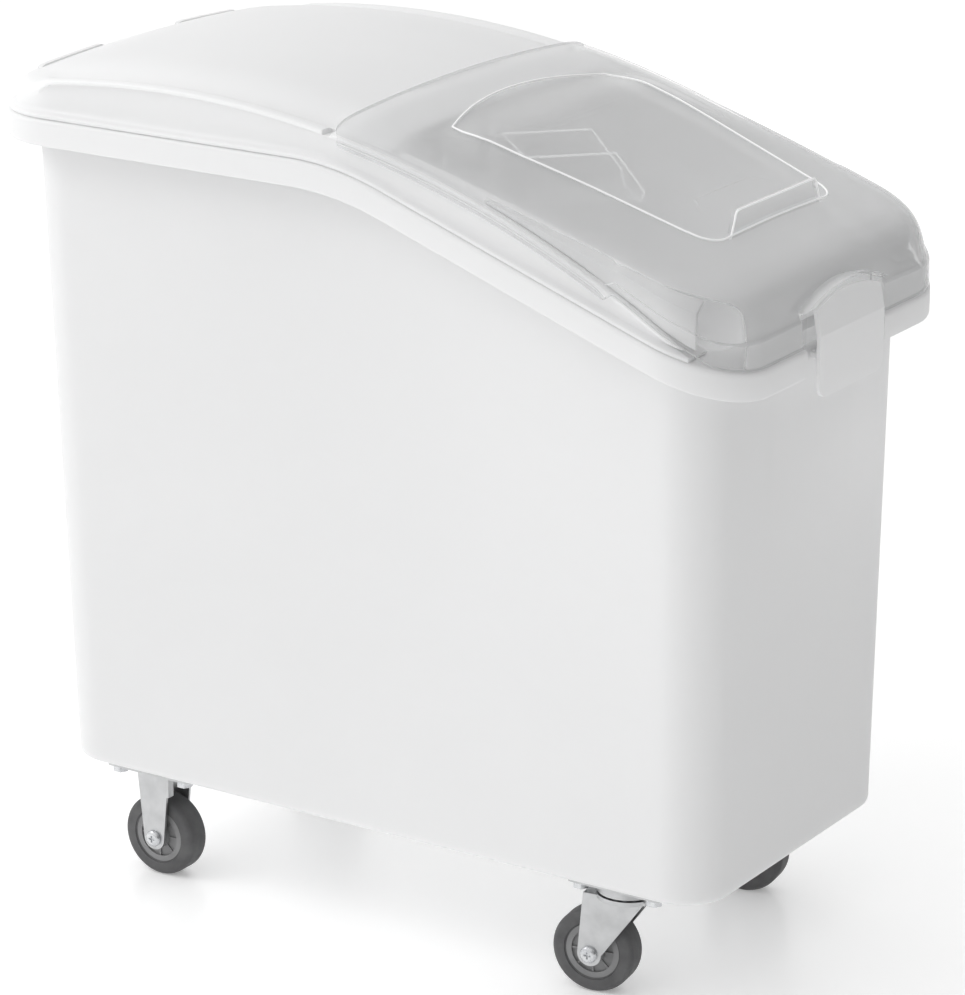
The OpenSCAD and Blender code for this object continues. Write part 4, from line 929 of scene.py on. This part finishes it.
def make_tyres():
    for end in ("near", "far"):
        for place in ("rear", "front"):
            wheel = f"wheel_{place}_{end}"
            piece(revolve(f"{place}_tyre_ring_{end}", tyre_profile(), joints[wheel + "_spin"]), wheel,
                  finishes["tyre_rubber"], f"{place}_tyre_{end}")


def soften_nodes():
    """Stands a copy with rounded edges in for each plain piece."""
    body_nodes = frame["record"]["behaviour"]["bodies"]
    bodies = {node: body for body, names in body_nodes.items() for node in names}
    for name in nodes:
        for word, width in EDGE_WIDTHS.items():
            if word in name and name != "latch_pin":
                piece(soften(name, width), bodies[name], finishes[slots[name]], name)


make_tub()
make_rear_lid()
make_clear_lid()
make_beads()
for end, side in (("near", -1), ("far", 1)):
    piece(make_runner("runner_strip_" + end, side), "slider", finishes["lid_plastic"], "runner_" + end)
make_tyres()
soften_nodes()

# Stage, light and camera

# The camera that was solved from the photo, with lengths in metres
IMAGE_H = 995
FOCAL_PX = 4315.72
AZIMUTH, ELEVATION = math.radians(32.98), math.radians(18.09)
DISTANCE = 3.7917
AIM = Vector((0.01545, 0, 0.36765))

# Floor, bright side of the sky, softbox and the light inside the tub, in metres and watts
FLOOR_HALF = 12
SKY_FROM = Vector((-0.8, -0.25, 0.55)).normalized()
SKY_SIDES, SKY_LEVELS = (-0.85, 0.75), (0.09, 1.06)
KEY_PLACE, KEY_SIZE, KEY_POWER = (-2.2, -1.5, 2.6), 1.4, 18
GLOW_PLACE, GLOW_SIZE, GLOW_POWER = (0.25, 0.09, 0.45), 0.1, 0.38


def make_floor():
    half = FLOOR_HALF
    floor = bpy.data.objects.new("floor", bpy.data.meshes.new("floor"))
    corners = [(x, y, 0) for x, y in box_outline(-half, half, -half, half)]
    floor.data.from_pydata(corners, [], [(0, 1, 2, 3)])
    bpy.context.collection.objects.link(floor)
    made = Finish("floor", Base_Color=(0.95, 0.95, 0.95, 1), Emission_Color=(1, 1, 1, 1),
                  Emission_Strength=0.23)
    made.spread(made.noise(1.5), "Roughness", 0.26, 0.34)
    floor.data.materials.append(made.material)


def make_world():
    world = bpy.data.worlds.new("studio")
    bpy.context.scene.world = world
    world.use_nodes = True
    tree = world.node_tree
    place = tree.nodes.new("ShaderNodeTexCoord").outputs["Generated"]
    side = tree.nodes.new("ShaderNodeVectorMath")
    side.operation = "DOT_PRODUCT"
    side.inputs[1].default_value = SKY_FROM
    tree.links.new(place, side.inputs[0])
    level = tree.nodes.new("ShaderNodeMapRange")
    level.interpolation_type = "SMOOTHSTEP"
    for name, number in zip(RANGE_SOCKETS, (*SKY_SIDES, *SKY_LEVELS)):
        level.inputs[name].default_value = number
    tree.links.new(side.outputs["Value"], level.inputs["Value"])
    tree.links.new(level.outputs["Result"], tree.nodes["Background"].inputs["Strength"])
    tree.nodes["Background"].inputs["Color"].default_value = (1, 1, 1, 1)


def make_softbox(name, place, size, power):
    light = bpy.data.lights.new(name, "AREA")
    light.size = size
    light.energy = power
    obj = bpy.data.objects.new(name, light)
    obj.location = place
    obj.rotation_euler = (AIM - Vector(place)).to_track_quat("-Z", "Y").to_euler()
    bpy.context.collection.objects.link(obj)


def make_glow():
    """Light inside the tub, for what its thin white walls let through on all sides."""
    light = bpy.data.lights.new("glow", "POINT")
    light.energy = GLOW_POWER
    light.shadow_soft_size = GLOW_SIZE
    obj = bpy.data.objects.new("glow", light)
    obj.location = GLOW_PLACE
    obj.visible_camera = False
    obj.visible_glossy = False
    bpy.context.collection.objects.link(obj)


def make_camera():
    camera = bpy.data.cameras.new("camera")
    camera.sensor_fit = "VERTICAL"
    camera.sensor_height = 36
    camera.lens = FOCAL_PX / IMAGE_H * camera.sensor_height
    obj = bpy.data.objects.new("camera", camera)
    back = Vector((math.sin(AZIMUTH) * math.cos(ELEVATION), -math.cos(AZIMUTH) * math.cos(ELEVATION),
                   math.sin(ELEVATION)))
    obj.location = AIM + back * DISTANCE
    obj.rotation_euler = back.to_track_quat("Z", "Y").to_euler()
    bpy.context.collection.objects.link(obj)
    bpy.context.scene.camera = obj


make_floor()
make_world()
make_softbox("key", KEY_PLACE, KEY_SIZE, KEY_POWER)
make_glow()
make_camera()
bpy.context.scene.view_settings.view_transform = "Standard"
